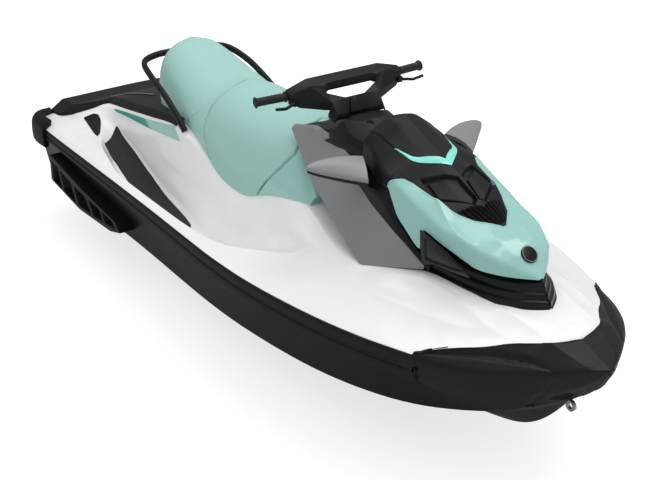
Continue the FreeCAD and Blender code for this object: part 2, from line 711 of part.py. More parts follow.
bezel = loft([bezel_ring(row) for row in bezel_shares])
bezel_room = loft([bezel_ring(row, bezel_wall, overrun) for row in bezel_shares[:4]])
hinge_room = box((hinge_room_back, -hinge_arm_high - hinge_room_side, hinge_at[1] - hinge_room_drop),
                 (hinge_at[0] + hinge_room_front, hinge_arm_high + hinge_room_side, above_all))
hinge_bore = rod(V(hinge_at[0], -hinge_pin_half - seat_gap, hinge_at[1]),
                 V(hinge_at[0], hinge_pin_half + seat_gap, hinge_at[1]), hinge_pin_radius + pin_gap)
for room in (bezel_room, deck, both(panel), storage_bin, hinge_room, hinge_bore):
    bezel = bezel.cut(room)
bezel = largest(bezel)
save("front_bezel", bezel)
save("console", console)
save_pair("side_panel", panel)

# Hood: one outer form, hollow underneath, split into the painted panel and the dark centre
hood_shares = (
    (0.7170, 0.352, 0.850, 0.325, 0.915, 0.200, 0.965, 0.990),
    (0.745, 0.342, 0.800, 0.310, 0.890, 0.180, 0.945, 0.975),
    (0.780, 0.318, 0.745, 0.280, 0.850, 0.165, 0.905, 0.940),
    (0.820, 0.285, 0.735, 0.245, 0.810, 0.130, 0.860, 0.882),
    (0.860, 0.225, 0.735, 0.200, 0.785, 0.110, 0.815, 0.826),
    (0.885, 0.140, 0.733, 0.125, 0.765, 0.070, 0.780, 0.785),
    (0.899, 0.022, 0.728, 0.018, 0.732, 0.010, 0.735, 0.738))
hood_wall = 14.0
hood_split = 1.0
hood_foot_open = 5.0
grille_shares = ((0.700, 0.340), (0.7225, 0.300), (0.745, 0.225), (0.780, 0.200), (0.810, 0.120),
                 (0.8405, 0.004))
arm_back = 2900.0
arm_reach = 50.0
arm_low = 728.0
arm_high = 785.0


def hood_ring(row, inset=0.0, drop=0.0, open_foot=0.0):
    """Hood section, or the room under it, which reaches out below the hood's lower edge."""
    foot, middle, top = [(y - inset, z) for y, z in pairs_of(row, 1, 7)]
    foot = (foot[0], foot[1] - open_foot)
    return ring(row[0] * length, [(0, foot[1]), foot, (middle[0], middle[1] - drop),
                                  (top[0], top[1] - drop), (0, row[-1] * body_height - drop)])


def grille_outline(grow):
    port = [(x * length, y * half_beam + grow) for x, y in grille_shares]
    return port + [(x, -y) for x, y in reversed(port)]


hood = loft([hood_ring(row) for row in hood_shares]).cut(
    loft([hood_ring(row, hood_wall, hood_wall, hood_foot_open) for row in hood_shares[:-2]]))
hood_panel = hood.cut(plan_prism(grille_outline(hood_split), 0, above_all))
hinge_arm = [(arm_back, arm_low), (arm_back, arm_high), (arm_back + arm_reach, arm_low + arm_reach / 2),
             (hinge_at[0] + hinge_pin_radius, hinge_at[1] + hinge_pin_radius),
             (hinge_at[0] + hinge_pin_radius, hinge_at[1] - hinge_pin_radius),
             (hinge_at[0] - hinge_pin_radius, hinge_at[1] - hinge_pin_radius)]
for side in (1, -1):
    near, far = sorted((side * hinge_arm_low, side * hinge_arm_high))
    hood_panel = hood_panel.fuse(side_prism(hinge_arm, near, far))
hood_panel = hood_panel.fuse(rod(V(hinge_at[0], -hinge_pin_half, hinge_at[1]),
                                 V(hinge_at[0], hinge_pin_half, hinge_at[1]), hinge_pin_radius))
save("hood_panel", largest(hood_panel))
save("hood_grille", largest(hood.common(plan_prism(grille_outline(0), 0, above_all))))

# Instrument hood behind the bonnet, with the display that faces the rider
dash_shares = (
    (0.6560, 0.235, 0.925, 0.220, 0.990, 0.170, 1.030, 1.012),
    (0.6750, 0.262, 0.915, 0.242, 0.990, 0.186, 1.030, 1.018),
    (0.6900, 0.285, 0.905, 0.262, 0.968, 0.188, 1.008, 1.010),
    (0.7170, 0.335, 0.880, 0.315, 0.920, 0.195, 0.968, 0.992))
gauge_breadth = 150.0
gauge_low = 940.0
gauge_high = 995.0
gauge_depth = 8.0
gauge_sink = 2.0
dash_front = hood_shares[0][0] * length - seat_gap
dash_back = dash_shares[0][0] * length
dash = loft([crowned_ring(row) for row in dash_shares]).cut(
    box((dash_front, -beam, 0), (length, beam, above_all)))
gauge_room = box((dash_back - overrun, -gauge_breadth / 2, gauge_low),
                 (dash_back + gauge_depth, gauge_breadth / 2, gauge_high))
gauge = box((dash_back + gauge_sink, -gauge_breadth / 2 + seat_gap, gauge_low + seat_gap),
            (dash_back + gauge_depth, gauge_breadth / 2 - seat_gap, gauge_high - seat_gap))
save("instrument_hood", dash.cut(gauge_room))
save("gauge_lens", gauge)

# Mirrors: breadth, then the corners of the housing there as stations and heights
mirror_shares = (
    (0.315, (0.6712, 0.962), (0.6930, 0.950), (0.7075, 0.905), (0.6930, 0.880), (0.6735, 0.885)),
    (0.450, (0.6640, 0.958), (0.6900, 0.945), (0.7045, 0.905), (0.6900, 0.872), (0.6655, 0.872)),
    (0.600, (0.6605, 0.952), (0.6780, 0.940), (0.6880, 0.915), (0.6770, 0.885), (0.6620, 0.885)),
    (0.650, (0.6590, 0.948), (0.6645, 0.943), (0.6675, 0.930), (0.6650, 0.915), (0.6600, 0.915)))
mirror_glass_depth = 3.0
mirror_glass_edge = 9.0
mirror_foot_shares = (
    (0.314, ((0.6740, 0.955), (0.7037, 0.905), (0.7037, 0.880), (0.6740, 0.880))),
    (0.240, ((0.6706, 0.955), (0.7067, 0.930), (0.7067, 0.890), (0.6706, 0.905))))


def outline_at(breadth, points):
    return polygon([V(x * length, breadth * half_beam, z * body_height) for x, z in points])


def glass_ring(row):
    """Upright slit just behind the rear face of the housing."""
    breadth, top, low = row[0] * half_beam, row[1], row[5]
    high = V(top[0] * length, breadth, top[1] * body_height - mirror_glass_edge)
    foot = V(low[0] * length, breadth, low[1] * body_height + mirror_glass_edge)
    depth = V(mirror_glass_depth, 0, 0)
    return polygon([high, high + depth, foot + depth, foot])


mirror_cap = loft([outline_at(row[0], row[1:]) for row in mirror_shares])
mirror_glass = loft([glass_ring(mirror_shares[0]), glass_ring(mirror_shares[2])], True)
mirror_foot = loft([outline_at(breadth, points) for breadth, points in mirror_foot_shares], True)
save_pair("mirror_cap", mirror_cap.cut(mirror_glass))
save_pair("mirror_glass", mirror_glass)
save_pair("mirror_foot", largest(mirror_foot.cut(dash)))

# Grab handle round the back of the seat
grab_radius = 15.0
grab_shares = (
    (0.3040, 0.420, 0.676), (0.2800, 0.420, 0.735), (0.2500, 0.412, 0.782), (0.2110, 0.400, 0.824),
    (0.1700, 0.352, 0.852), (0.1530, 0.210, 0.858))
grab_path = [V(x * length, y * half_beam, z * body_height) for x, y, z in grab_shares]
grab_path = grab_path + [V(point.x, -point.y, point.z) for point in reversed(grab_path)]
grab = tube_path(grab_path, grab_radius)
for piece in (rear_deck, decks, seat_rear, seat_front):
    grab = grab.cut(piece)
save("grab_handle", largest(grab))

# Tow eye on the transom and bow eye on the stem
eye_wire = 6.0
eye_plate = 4.0
tow_height = 400.0
tow_reach = 26.0
tow_half = 24.0
tow_plate_half = 36.0
tow_plate_rise = 14.0
bow_eye_at = (3168.0, 338.0)
bow_eye_radius = 20.0
bow_eye_bore = 11.0
bow_eye_half = 6.0
bow_eye_root = 60.0
transom = hull_shares[0][0] * length
tow_eye = box((transom - eye_plate, -tow_plate_half, tow_height - tow_plate_rise),
              (transom, tow_plate_half, tow_height + tow_plate_rise))
tow_path = [V(transom, -tow_half, tow_height), V(transom - tow_reach, -tow_half, tow_height),
            V(transom - tow_reach, tow_half, tow_height), V(transom, tow_half, tow_height)]
tow_eye = tow_eye.fuse(tube_path(tow_path, eye_wire))
save("tow_eye", largest(tow_eye.cut(hull)))
bow_eye = rod(V(bow_eye_at[0], -bow_eye_half, bow_eye_at[1]),
              V(bow_eye_at[0], bow_eye_half, bow_eye_at[1]), bow_eye_radius)
bow_eye = bow_eye.fuse(box((bow_eye_at[0] - bow_eye_root, -bow_eye_half, bow_eye_at[1] - eye_plate),
                           (bow_eye_at[0], bow_eye_half, bow_eye_at[1] + bow_eye_radius)))
bow_eye = bow_eye.cut(rod(V(bow_eye_at[0], -beam, bow_eye_at[1]),
                          V(bow_eye_at[0], beam, bow_eye_at[1]), bow_eye_bore))
save("bow_eye", largest(bow_eye.cut(hull)))

# Ride plate under the pump and grate over the intake
plate_back = 40.0
plate_front = 404.0
plate_low = 6.0
plate_high = 14.0
plate_cheek = 104.0
plate_side = 8.0
plate_half = tunnel_breadth - seat_gap
grate_back = 545.0
grate_front = 895.0
grate_low = 3.0
grate_high = 16.0
grate_foot = 30.0
grate_root = 34.0
grate_rise = 9.0
grate_pairs = 2
grate_tie = 620.0
bar_half = 4.0
bar_pitch = 32.0
ride_plate = box((plate_back, -plate_half, plate_low), (plate_front, plate_half, plate_high))
for side in (1, -1):
    ride_plate = ride_plate.fuse(side_box(plate_back, plate_front, side * (plate_half - plate_side),
                                          side * plate_half, plate_low, plate_cheek))
save("ride_plate", ride_plate)
grate_half = bar_pitch * grate_pairs + bar_half
grate = box((grate_front - grate_foot, -grate_half, grate_low),
            (grate_front, grate_half, grate_high + grate_root))
grate = grate.fuse(box((grate_tie, -grate_half, grate_low),
                       (grate_tie + 2 * bar_half, grate_half, grate_high + grate_pairs * grate_rise)))
for n in range(-grate_pairs, grate_pairs + 1):
    rise = abs(n) * grate_rise
    grate = grate.fuse(box((grate_back, n * bar_pitch - bar_half, grate_low + rise),
                           (grate_front, n * bar_pitch + bar_half, grate_high + rise)))
save("intake_grate", largest(grate.cut(hull)))

# Pump: housing with its stator vanes and the four ears that carry nozzle and bucket
venturi_end = 105.0
venturi_radius = 50.0
venturi_bore = 42.0
nozzle_pivot = 120.0
pin_radius = 8.0
ear_low = 91.0
ear_high = 100.0
ear_half = 14.0
ear_back = 105.0
ear_root = 25.0
ear_sink = 8.0
side_ear_low = 104.0
side_ear_high = 112.0
vane_back = 195.0
vane_front = 285.0
vane_count = 7
vane_half = 2.5
vane_root = 4.0
blade_count = 3
blade_half = 5.0
blade_steps = 4
blade_turn = 70.0
blade_root = 6.0
hub_clear = 2.0
hub_lap = 7.0


def on_axis(radius, start, end):
    return Part.makeCylinder(radius, end - start, V(start, 0, jet_height), axis_x)


def cone_on_axis(first, second, start, end):
    return Part.makeCone(first, second, end - start, V(start, 0, jet_height), axis_x)


def turned(shape, angle):
    """Shape drawn about the station axis, turned and lifted to the jet's axis."""
    shape.rotate(V(0, 0, 0), axis_x, angle)
    shape.translate(V(0, 0, jet_height))
    return shape


def ear(low, high, angle):
    """One ear with its foot on the barrel, standing out at an angle round the jet's axis."""
    plate = box((ear_back, -ear_half, low), (pump_back + ear_root, ear_half, high))
    foot = box((pump_back, -ear_half, pump_radius - ear_sink), (pump_back + ear_root, ear_half, high))
    bore = rod(V(nozzle_pivot, 0, low - overrun), V(nozzle_pivot, 0, high + overrun), pin_radius + pin_gap)
    return turned(plate.fuse(foot).cut(bore), angle)


pump = on_axis(pump_radius, pump_back, pump_front)
pump = pump.fuse(cone_on_axis(venturi_radius, pump_radius, venturi_end, pump_back))
pump = pump.fuse(on_axis(pump_flange, tunnel_front - flange_depth, tunnel_front))
for angle, low, high in ((0, ear_low, ear_high), (180, ear_low, ear_high),
                         (90, side_ear_low, side_ear_high), (270, side_ear_low, side_ear_high)):
    pump = pump.fuse(ear(low, high, angle))
pump_room = on_axis(pump_bore, pump_back, pump_front + 2 * overrun)
pump_room = pump_room.fuse(cone_on_axis(venturi_bore, pump_bore, venturi_end, pump_back))
pump_room = pump_room.fuse(on_axis(venturi_bore, venturi_end - overrun, venturi_end + overrun))
pump = pump.cut(pump_room)
for n in range(vane_count):
    pump = pump.fuse(turned(box((vane_back + overrun, -vane_half, hub_radius - vane_root),
                                (vane_front - overrun, vane_half, pump_bore + vane_root)),
                            360 * n / vane_count))
pump = pump.fuse(on_axis(hub_radius, vane_back, vane_front))
pump = pump.cut(on_axis(shaft_radius + pin_gap, vane_back - overrun, vane_front + overrun))
save("pump_housing", pump)

# Impeller on its shaft, which runs forward to the engine


def blade_ring(step, first):
    """Section of a blade at one station, from the hub out to the tip."""
    share = step / blade_steps
    turn = math.radians(first + blade_turn * share)
    out, across = V(0, math.cos(turn), math.sin(turn)), V(0, -math.sin(turn), math.cos(turn))
    base = V(impeller_back + (impeller_front - impeller_back) * share, 0, jet_height)
    root, tip = out * (hub_radius - blade_root), out * impeller_radius
    return polygon([base + root + across * blade_half, base + tip + across * blade_half,
                    base + tip - across * blade_half, base + root - across * blade_half])


impeller = on_axis(shaft_radius, vane_back + overrun, engine_back - seat_gap)
impeller = impeller.fuse(on_axis(hub_radius - hub_clear, impeller_back - hub_lap, impeller_front + hub_lap))
for n in range(blade_count):
    impeller = impeller.fuse(loft([blade_ring(step, 360 * n / blade_count)
                                   for step in range(blade_steps + 1)]))
save("impeller", impeller)

# Steering nozzle, held by two upright pins on its lugs
nozzle_front = 110.0
nozzle_end = 30.0
nozzle_mouth = 44.0
nozzle_throat = 84.0
nozzle_wall = 5.0
lug_half = 14.0
lug_back = 98.0
lug_front = nozzle_pivot + lug_half
lug_low = 82.0
lug_high = nozzle_throat + nozzle_wall
nozzle = cone_on_axis(nozzle_mouth + nozzle_wall, nozzle_throat + nozzle_wall, nozzle_end, nozzle_front)
nozzle_room = cone_on_axis(nozzle_mouth, nozzle_throat, nozzle_end, nozzle_front)
nozzle = nozzle.cut(nozzle_room)
for angle in (0, 180):
    lug = box((lug_back, -lug_half, lug_low), (lug_front, lug_half, lug_high))
    lug = lug.fuse(rod(V(nozzle_pivot, 0, lug_low), V(nozzle_pivot, 0, ear_high), pin_radius))
    nozzle = nozzle.fuse(turned(lug, angle))
save("steering_nozzle", nozzle)

# Reverse bucket, a curved shell on two arms
bucket_inner = 112.0
bucket_outer = 118.0
bucket_half = 100.0
bucket_arm = 6.0
bucket_start = 30.0
bucket_sweep = 65.0
bucket_steps = 6
bucket_boss = 16.0
bucket_lean = 60.0
bucket_pin_root = 1.0


def bucket_point(radius, angle):
    turn = math.radians(angle)
    return (nozzle_pivot - radius * math.cos(turn), jet_height + radius * math.sin(turn))


bucket_angles = [bucket_start + bucket_sweep * n / bucket_steps for n in range(bucket_steps + 1)]
outer_arc = [bucket_point(bucket_outer, angle) for angle in bucket_angles]
inner_arc = [bucket_point(bucket_inner, angle) for angle in reversed(bucket_angles)]
bucket = side_prism(outer_arc + inner_arc, -bucket_half, bucket_half)
arm_outline = outer_arc + [bucket_point(bucket_boss, bucket_start + bucket_sweep),
                           bucket_point(bucket_boss, bucket_start - bucket_lean)]
for side in (1, -1):
    near, far = side * (bucket_half - bucket_arm), side * bucket_half
    bucket = bucket.fuse(side_prism(arm_outline, *sorted((near, far))))
    bucket = bucket.fuse(rod(V(nozzle_pivot, near, jet_height), V(nozzle_pivot, far, jet_height),
                             bucket_boss))
    bucket = bucket.fuse(rod(V(nozzle_pivot, far - side * bucket_pin_root, jet_height),
                             V(nozzle_pivot, side * side_ear_high, jet_height), pin_radius))
save("reverse_bucket", bucket)
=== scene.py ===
# %% [markdown]
# # A personal watercraft, dressed over its CAD frame
# The CAD model gives the true sizes, the hinges and the hidden works. This script puts the visible
# surfaces over it: gelcoat, moulded plastic, painted covers, vinyl and rubber. Each surface is a grid
# of points worked out with numpy, so a learner can read its formula and change one number at a time.

# %% Load the frame
import math
import json
import numpy as np
import bpy
import bmesh
from mathutils import Matrix


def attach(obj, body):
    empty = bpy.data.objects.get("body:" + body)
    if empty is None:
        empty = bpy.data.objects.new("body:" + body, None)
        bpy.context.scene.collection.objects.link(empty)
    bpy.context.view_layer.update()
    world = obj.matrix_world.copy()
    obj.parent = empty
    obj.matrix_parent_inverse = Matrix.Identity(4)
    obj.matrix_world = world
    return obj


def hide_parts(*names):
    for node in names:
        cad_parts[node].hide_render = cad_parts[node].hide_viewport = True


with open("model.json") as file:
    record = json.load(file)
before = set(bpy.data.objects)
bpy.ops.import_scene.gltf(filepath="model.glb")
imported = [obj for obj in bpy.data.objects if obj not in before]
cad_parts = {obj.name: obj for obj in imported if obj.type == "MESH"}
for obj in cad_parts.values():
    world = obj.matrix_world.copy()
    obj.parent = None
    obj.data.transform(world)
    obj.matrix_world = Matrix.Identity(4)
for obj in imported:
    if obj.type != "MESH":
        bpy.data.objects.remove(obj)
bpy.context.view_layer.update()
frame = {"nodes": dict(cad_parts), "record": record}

# %% [markdown]
# ## Stations, breadths and heights
# A boat is drawn by stations: how far forward of the transom a section lies, how far out a point is,
# and how high above the keel. The tables below are shares of the craft's length, of half its beam and
# of its body height, as in the CAD source. One function turns millimetres of that drawing into metres
# of the frame, whose origin is at mid length on the waterline.

# %% Drawing scale
LENGTH, HALF_BEAM, BODY_HEIGHT, DRAFT = 3318.0, 625.0, 1000.0, 238.0
KEEL = -DRAFT / 1000


def placed(points):
    """Millimetres by station, breadth and height become metres in the frame."""
    return (np.asarray(points, float) - [LENGTH / 2, 0, DRAFT]) / 1000


def smooth_table(table, stations):
    """Monotone cubic through every column of a table whose first column is a share of the length.

    Each knot's slope is the harmonic mean of the slopes on its two sides, or zero at a peak, so the
    curve never swings past the numbers in the table.
    """
    rows = np.array(table, float)
    x, y = rows[:, 0] * LENGTH, rows[:, 1:]
    step = np.diff(x)[:, None]
    rise = np.diff(y, axis=0) / step
    product = rise[:-1] * rise[1:]
    heavy, light = 2 * step[1:] + step[:-1], step[1:] + 2 * step[:-1]
    safe = np.where(product > 0, product, 1)
    mean = (heavy + light) * safe / np.where(product > 0, heavy * rise[1:] + light * rise[:-1], 1)
    slope = np.vstack([rise[:1], np.where(product > 0, mean, 0), rise[-1:]])
    k = np.clip(np.searchsorted(x, stations) - 1, 0, len(x) - 2)
    h = step[k]
    t = np.clip((np.asarray(stations)[:, None] - x[k][:, None]) / h, 0, 1)
    a, b = y[k], y[k + 1]
    m, n = slope[k] * h, slope[k + 1] * h
    return (a * (1 + 2 * t) * (1 - t) ** 2 + m * t * (1 - t) ** 2
            + b * t ** 2 * (3 - 2 * t) - n * t ** 2 * (1 - t))


def stations_between(first, last, count):
    """Evenly spaced stations between two shares of the length."""
    return np.linspace(first * LENGTH, last * LENGTH, count)


def straight_table(table, stations):
    """The same with straight lines between the rows, for panels with flat faces and sharp corners."""
    rows = np.array(table, float)
    return np.stack([np.interp(stations / LENGTH, rows[:, 0], column) for column in rows[:, 1:].T], axis=1)


def section_points(table, stations, centre=True, read=smooth_table):
    """Points (station, breadth, height) of a table's columns, with its last column as the crown."""
    values = read(table, stations)
    pairs = values[:, :values.shape[1] // 2 * 2].reshape(len(stations), -1, 2) * [HALF_BEAM, BODY_HEIGHT]
    x = np.broadcast_to(stations[:, None, None], pairs.shape[:2] + (1,))
    points = np.concatenate([x, pairs], axis=2)
    if centre:
        crown = np.stack([stations, 0 * stations, values[:, -1] * BODY_HEIGHT], axis=1)
        points = np.concatenate([points, crown[:, None]], axis=1)
    return points


print("the drawing is", LENGTH, "mm long and", 2 * HALF_BEAM, "mm wide")

# %% [markdown]
# ## Rounded sections, cuts and meshes
# Moulded skins have no knife edges. `rounded` swaps every inner corner of a section for a short curve
# and keeps the same number of points in each row, so a crease runs cleanly along the boat. `between`
# takes the part of a grid that lies between two curves, which is how one smooth form is divided into
# separate covers that still line up.

# %% Grid tools


def rounded(points, radii, turn=5, run=3):
    """Corner points (rows, corners, 3) with each inner corner replaced by a curve of that radius.

    The curve is a quadratic one from a point before the corner to a point after it, with the corner
    as its control point. Straight runs between the curves get a few points of their own.
    """
    p = np.asarray(points, float)
    radii = np.broadcast_to(np.asarray(radii, float), p.shape[1] - 2)
    out, start = [p[:, :1]], p[:, 0]
    t = np.linspace(0, 1, turn)[None, :, None]
    share = (np.arange(1, run + 1) / (run + 1))[None, :, None]
    for n in range(1, p.shape[1] - 1):
        back, ahead = p[:, n - 1] - p[:, n], p[:, n + 1] - p[:, n]
        reach_back = np.maximum(np.linalg.norm(back, axis=1, keepdims=True), 1e-6)
        reach_ahead = np.maximum(np.linalg.norm(ahead, axis=1, keepdims=True), 1e-6)
        a = p[:, n] + back * np.minimum(radii[n - 1] / reach_back, 0.49)
        b = p[:, n] + ahead * np.minimum(radii[n - 1] / reach_ahead, 0.49)
        out.append(start[:, None] * (1 - share) + a[:, None] * share)
        out.append(a[:, None] * (1 - t) ** 2 + 2 * t * (1 - t) * p[:, n][:, None] + b[:, None] * t ** 2)
        start = b
    out.append(start[:, None] * (1 - share) + p[:, -1][:, None] * share)
    out.append(p[:, -1:])
    return np.concatenate(out, axis=1)


def corner_column(corner, turn=5, run=3):
    """Column of a rounded grid that holds the middle of an inner corner."""
    return 1 + corner * run + (corner - 1) * turn + turn // 2


def sample(grid, rows, columns):
    """Points of a grid at fractional rows and columns, straight between its own points."""
    rows = np.clip(rows, 0, grid.shape[0] - 1.001)
    columns = np.clip(columns, 0, grid.shape[1] - 1.001)
    r, c = rows.astype(int), columns.astype(int)
    a, b = (rows - r)[..., None], (columns - c)[..., None]
    return ((grid[r, c] * (1 - a) + grid[r + 1, c] * a) * (1 - b)
            + (grid[r, c + 1] * (1 - a) + grid[r + 1, c + 1] * a) * b)


def crossing(field):
    """For every column, the fractional row at which the field first rises through zero."""
    rises = (field[:-1] < 0) & (field[1:] >= 0)
    k = np.where(rises.any(0), rises.argmax(0), np.where(field[0] >= 0, 0, len(field) - 2))
    c = np.arange(field.shape[1])
    low, high = field[k, c], field[k + 1, c]
    share = np.where(rises.any(0), -low / np.where(high == low, 1, high - low), np.where(field[0] >= 0, 0, 1))
    return k + share


def between(grid, first, last, count):
    """Grid rows from the fractional row first to last, which may differ from column to column."""
    t = np.linspace(0, 1, count)[:, None]
    first, last = np.broadcast_to(first, grid.shape[1]), np.broadcast_to(last, grid.shape[1])
    columns = np.broadcast_to(np.arange(grid.shape[1], dtype=float), (count, grid.shape[1]))
    return sample(grid, first + (last - first) * t, columns)


def across(grid, first, last, count):
    """The same cut the other way: columns from first to last, row by row."""
    return between(grid.swapaxes(0, 1), first, last, count).swapaxes(0, 1)


def normals_of(grid):
    """Unit normals of a grid, from the cross product of its two directions."""
    n = np.cross(np.gradient(grid, axis=0), np.gradient(grid, axis=1))
    return n / np.maximum(np.linalg.norm(n, axis=2, keepdims=True), 1e-9)


def mirrored(grid):
    """The same points on the other side of the centre plane: breadths change their sign."""
    return grid * [1, -1, 1]


def whole(half):
    """Half a section from its edge in to the centre line, joined to its mirror image."""
    return np.concatenate([half, mirrored(half[:, -2::-1])], axis=1)


def grid_faces(rows, columns, wrap=False):
    """Four-cornered faces of a grid, worked out from its numbering."""
    r, c = np.meshgrid(np.arange(rows - 1), np.arange(columns if wrap else columns - 1), indexing="ij")
    a, b = r * columns + c, r * columns + (c + 1) % columns
    return np.stack([a, b, b + columns, a + columns], axis=-1).reshape(-1, 4)


MERGE_GAP, THIN_FACE, FOLD_ANGLE = 2e-5, 1e-5, 0.1


def finished_mesh(name, verts, faces, material, crease=35.0, soft=0.0):
    """A mesh from points and faces. soft rounds every fold by that many millimetres."""
    mesh = bpy.data.meshes.new(name)
    mesh.from_pydata(placed(verts).tolist(), [], faces)
    work = bmesh.new()
    work.from_mesh(mesh)
    bmesh.ops.remove_doubles(work, verts=work.verts, dist=MERGE_GAP)
    bmesh.ops.dissolve_degenerate(work, dist=THIN_FACE, edges=work.edges)
    bmesh.ops.delete(work, geom=[v for v in work.verts if not v.link_faces], context="VERTS")
    bmesh.ops.recalc_face_normals(work, faces=work.faces)
    if soft:
        folds = [edge for edge in work.edges if edge.is_manifold and edge.calc_face_angle() > FOLD_ANGLE]
        bmesh.ops.bevel(work, geom=folds, offset=soft / 1000, segments=3, profile=0.5, affect="EDGES",
                        clamp_overlap=True)
    work.to_mesh(mesh)
    work.free()
    mesh.materials.append(material)
    mesh.shade_smooth()
    mesh.set_sharp_from_angle(angle=math.radians(crease))
    piece = bpy.data.objects.new(name, mesh)
    bpy.context.scene.collection.objects.link(piece)
    return piece


def facing_normals(grid, facing=(0, 0, 1)):
    """Unit normals turned to the side that looks in a direction."""
    normal = normals_of(grid)
    return normal if (normal * np.asarray(facing)).sum(-1).mean() > 0 else -normal


def skin(name, grid, material, wall=6.0, facing=(0, 0, 1), crease=35.0, keep=None):
    """An open grid as a sheet with a real wall: its copy lies a wall's thickness behind it.

    keep marks the faces that stay, so a sheet can have an opening; every open edge gets a wall.
    """
    rows, columns = grid.shape[:2]
    back = grid - facing_normals(grid, facing) * wall
    count = rows * columns
    front = grid_faces(rows, columns)
    if keep is not None:
        front = front[keep.ravel()]
    sides = set(map(tuple, np.concatenate([front[:, [k, (k + 1) % 4]] for k in range(4)]).tolist()))
    rim = np.array([side for side in sides if side[::-1] not in sides])
    walls = np.stack([rim[:, 1], rim[:, 0], rim[:, 0] + count, rim[:, 1] + count], axis=1)
    faces = np.concatenate([front, front[:, ::-1] + count, walls])
    verts = np.concatenate([grid.reshape(-1, 3), back.reshape(-1, 3)])
    return finished_mesh(name, verts, faces.tolist(), material, crease)


def closed_form(name, grid, material, crease=35.0):
    """A grid whose columns run right round a section, closed by a fan of faces at each end."""
    rows, columns = grid.shape[:2]
    verts = np.concatenate([grid.reshape(-1, 3), grid[:1].mean(1), grid[-1:].mean(1)])
    ring = np.arange(columns)
    fans = [np.stack([np.full(columns, rows * columns + end), ring + row * columns,
                      (ring + 1) % columns + row * columns], axis=1)
            for end, row in ((0, 0), (1, rows - 1))]
    faces = grid_faces(rows, columns, wrap=True).tolist() + fans[0].tolist() + fans[1].tolist()
    return finished_mesh(name, verts, faces, material, crease)


def swept(path, profile, up=(0, 0, 1)):
    """Grid of a profile (out, rise) carried along a path: out is across the path, rise towards up."""
    path = np.asarray(path, float)
    tangent = np.gradient(path, axis=0)
    tangent /= np.linalg.norm(tangent, axis=1, keepdims=True)
    side = np.cross(tangent, np.asarray(up, float))
    side /= np.maximum(np.linalg.norm(side, axis=1, keepdims=True), 1e-9)
    rise = np.cross(side, tangent)
    profile = np.asarray(profile, float)
    return path[:, None] + side[:, None] * profile[None, :, :1] + rise[:, None] * profile[None, :, 1:]


def curve_through(points, count):
    """Smooth path through a few points: a Catmull-Rom spline, evenly divided in its parameter."""
    p = np.asarray(points, float)
    p = np.concatenate([2 * p[:1] - p[1:2], p, 2 * p[-1:] - p[-2:-1]])
    s = np.linspace(0, len(p) - 3.0001, count)
    k = s.astype(int)
    t = (s - k)[:, None]
    a, b, c, d = p[k], p[k + 1], p[k + 2], p[k + 3]
    return 0.5 * (2 * b + (c - a) * t + (2 * a - 5 * b + 4 * c - d) * t ** 2
                  + (3 * b - a - 3 * c + d) * t ** 3)


def oval(wide, high, count=24, power=2.0):
    """Closed profile between an ellipse, power 2, and a rounded box, power 4 and more."""
    turn = np.arange(count) * 2 * np.pi / count
    c, s = np.cos(turn), np.sin(turn)
    return np.stack([wide * np.sign(c) * abs(c) ** (2 / power), high * np.sign(s) * abs(s) ** (2 / power)], axis=1)


def eased(t):
    """A soft step from 0 to 1."""
    t = np.clip(t, 0, 1)
    return t * t * (3 - 2 * t)


def inside(outline, u, v):
    """How far points lie inside a convex outline, in millimetres, and below zero outside it."""
    p = np.array(outline, float)
    q = np.roll(p, -1, axis=0) - p
    turn = np.sign((p[:, 0] * np.roll(p[:, 1], -1) - np.roll(p[:, 0], -1) * p[:, 1]).sum())
    return np.min([turn * (q[k, 0] * (v - p[k, 1]) - q[k, 1] * (u - p[k, 0])) / np.hypot(*q[k])
                   for k in range(len(p))], axis=0)


def pressed(grid, outlines, depth, soft=5.0, axes=(0, 1), facing=(0, 0, 1)):
    """Areas sunk along the normals, or raised where the depth is negative, with sloping edges.

    Each outline is convex and drawn in the plane of two axes, and breadths lose their sign.
    """
    u, v = (abs(grid[..., k]) if k == 1 else grid[..., k] for k in axes)
    share = np.max([eased(inside(outline, u, v) / soft + 0.5) for outline in outlines], axis=0)
    return grid - facing_normals(grid, facing) * (np.asarray(depth) * share)[..., None]


def folded(grid, line, rise, inner=60.0, outer=25.0, fade=60.0):
    """A style line: the surface rises to a sharp edge along a line of stations and breadths."""
    x, y = np.array(line, float).T
    off = abs(grid[..., 1]) - np.interp(grid[..., 0], x, y)
    share = eased((grid[..., 0] - x[0]) / fade) * eased((x[-1] - grid[..., 0]) / fade)
    height = rise * share * np.where(off < 0, np.exp(off / inner), np.exp(-off / outer))
    return grid + np.stack([0 * height, 0 * height, height], axis=-1)


def faired(values, spread):
    """Evens out small wiggles along the boat with a weighted mean over the rows nearby."""
    weight = np.exp(-np.linspace(-2, 2, 2 * spread + 1) ** 2)
    weight /= weight.sum()
    longer = np.concatenate([2 * values[:1] - values[spread:0:-1], values,
                             2 * values[-1:] - values[-2:-spread - 2:-1]])
    return sum(w * longer[k:k + len(values)] for k, w in enumerate(weight))


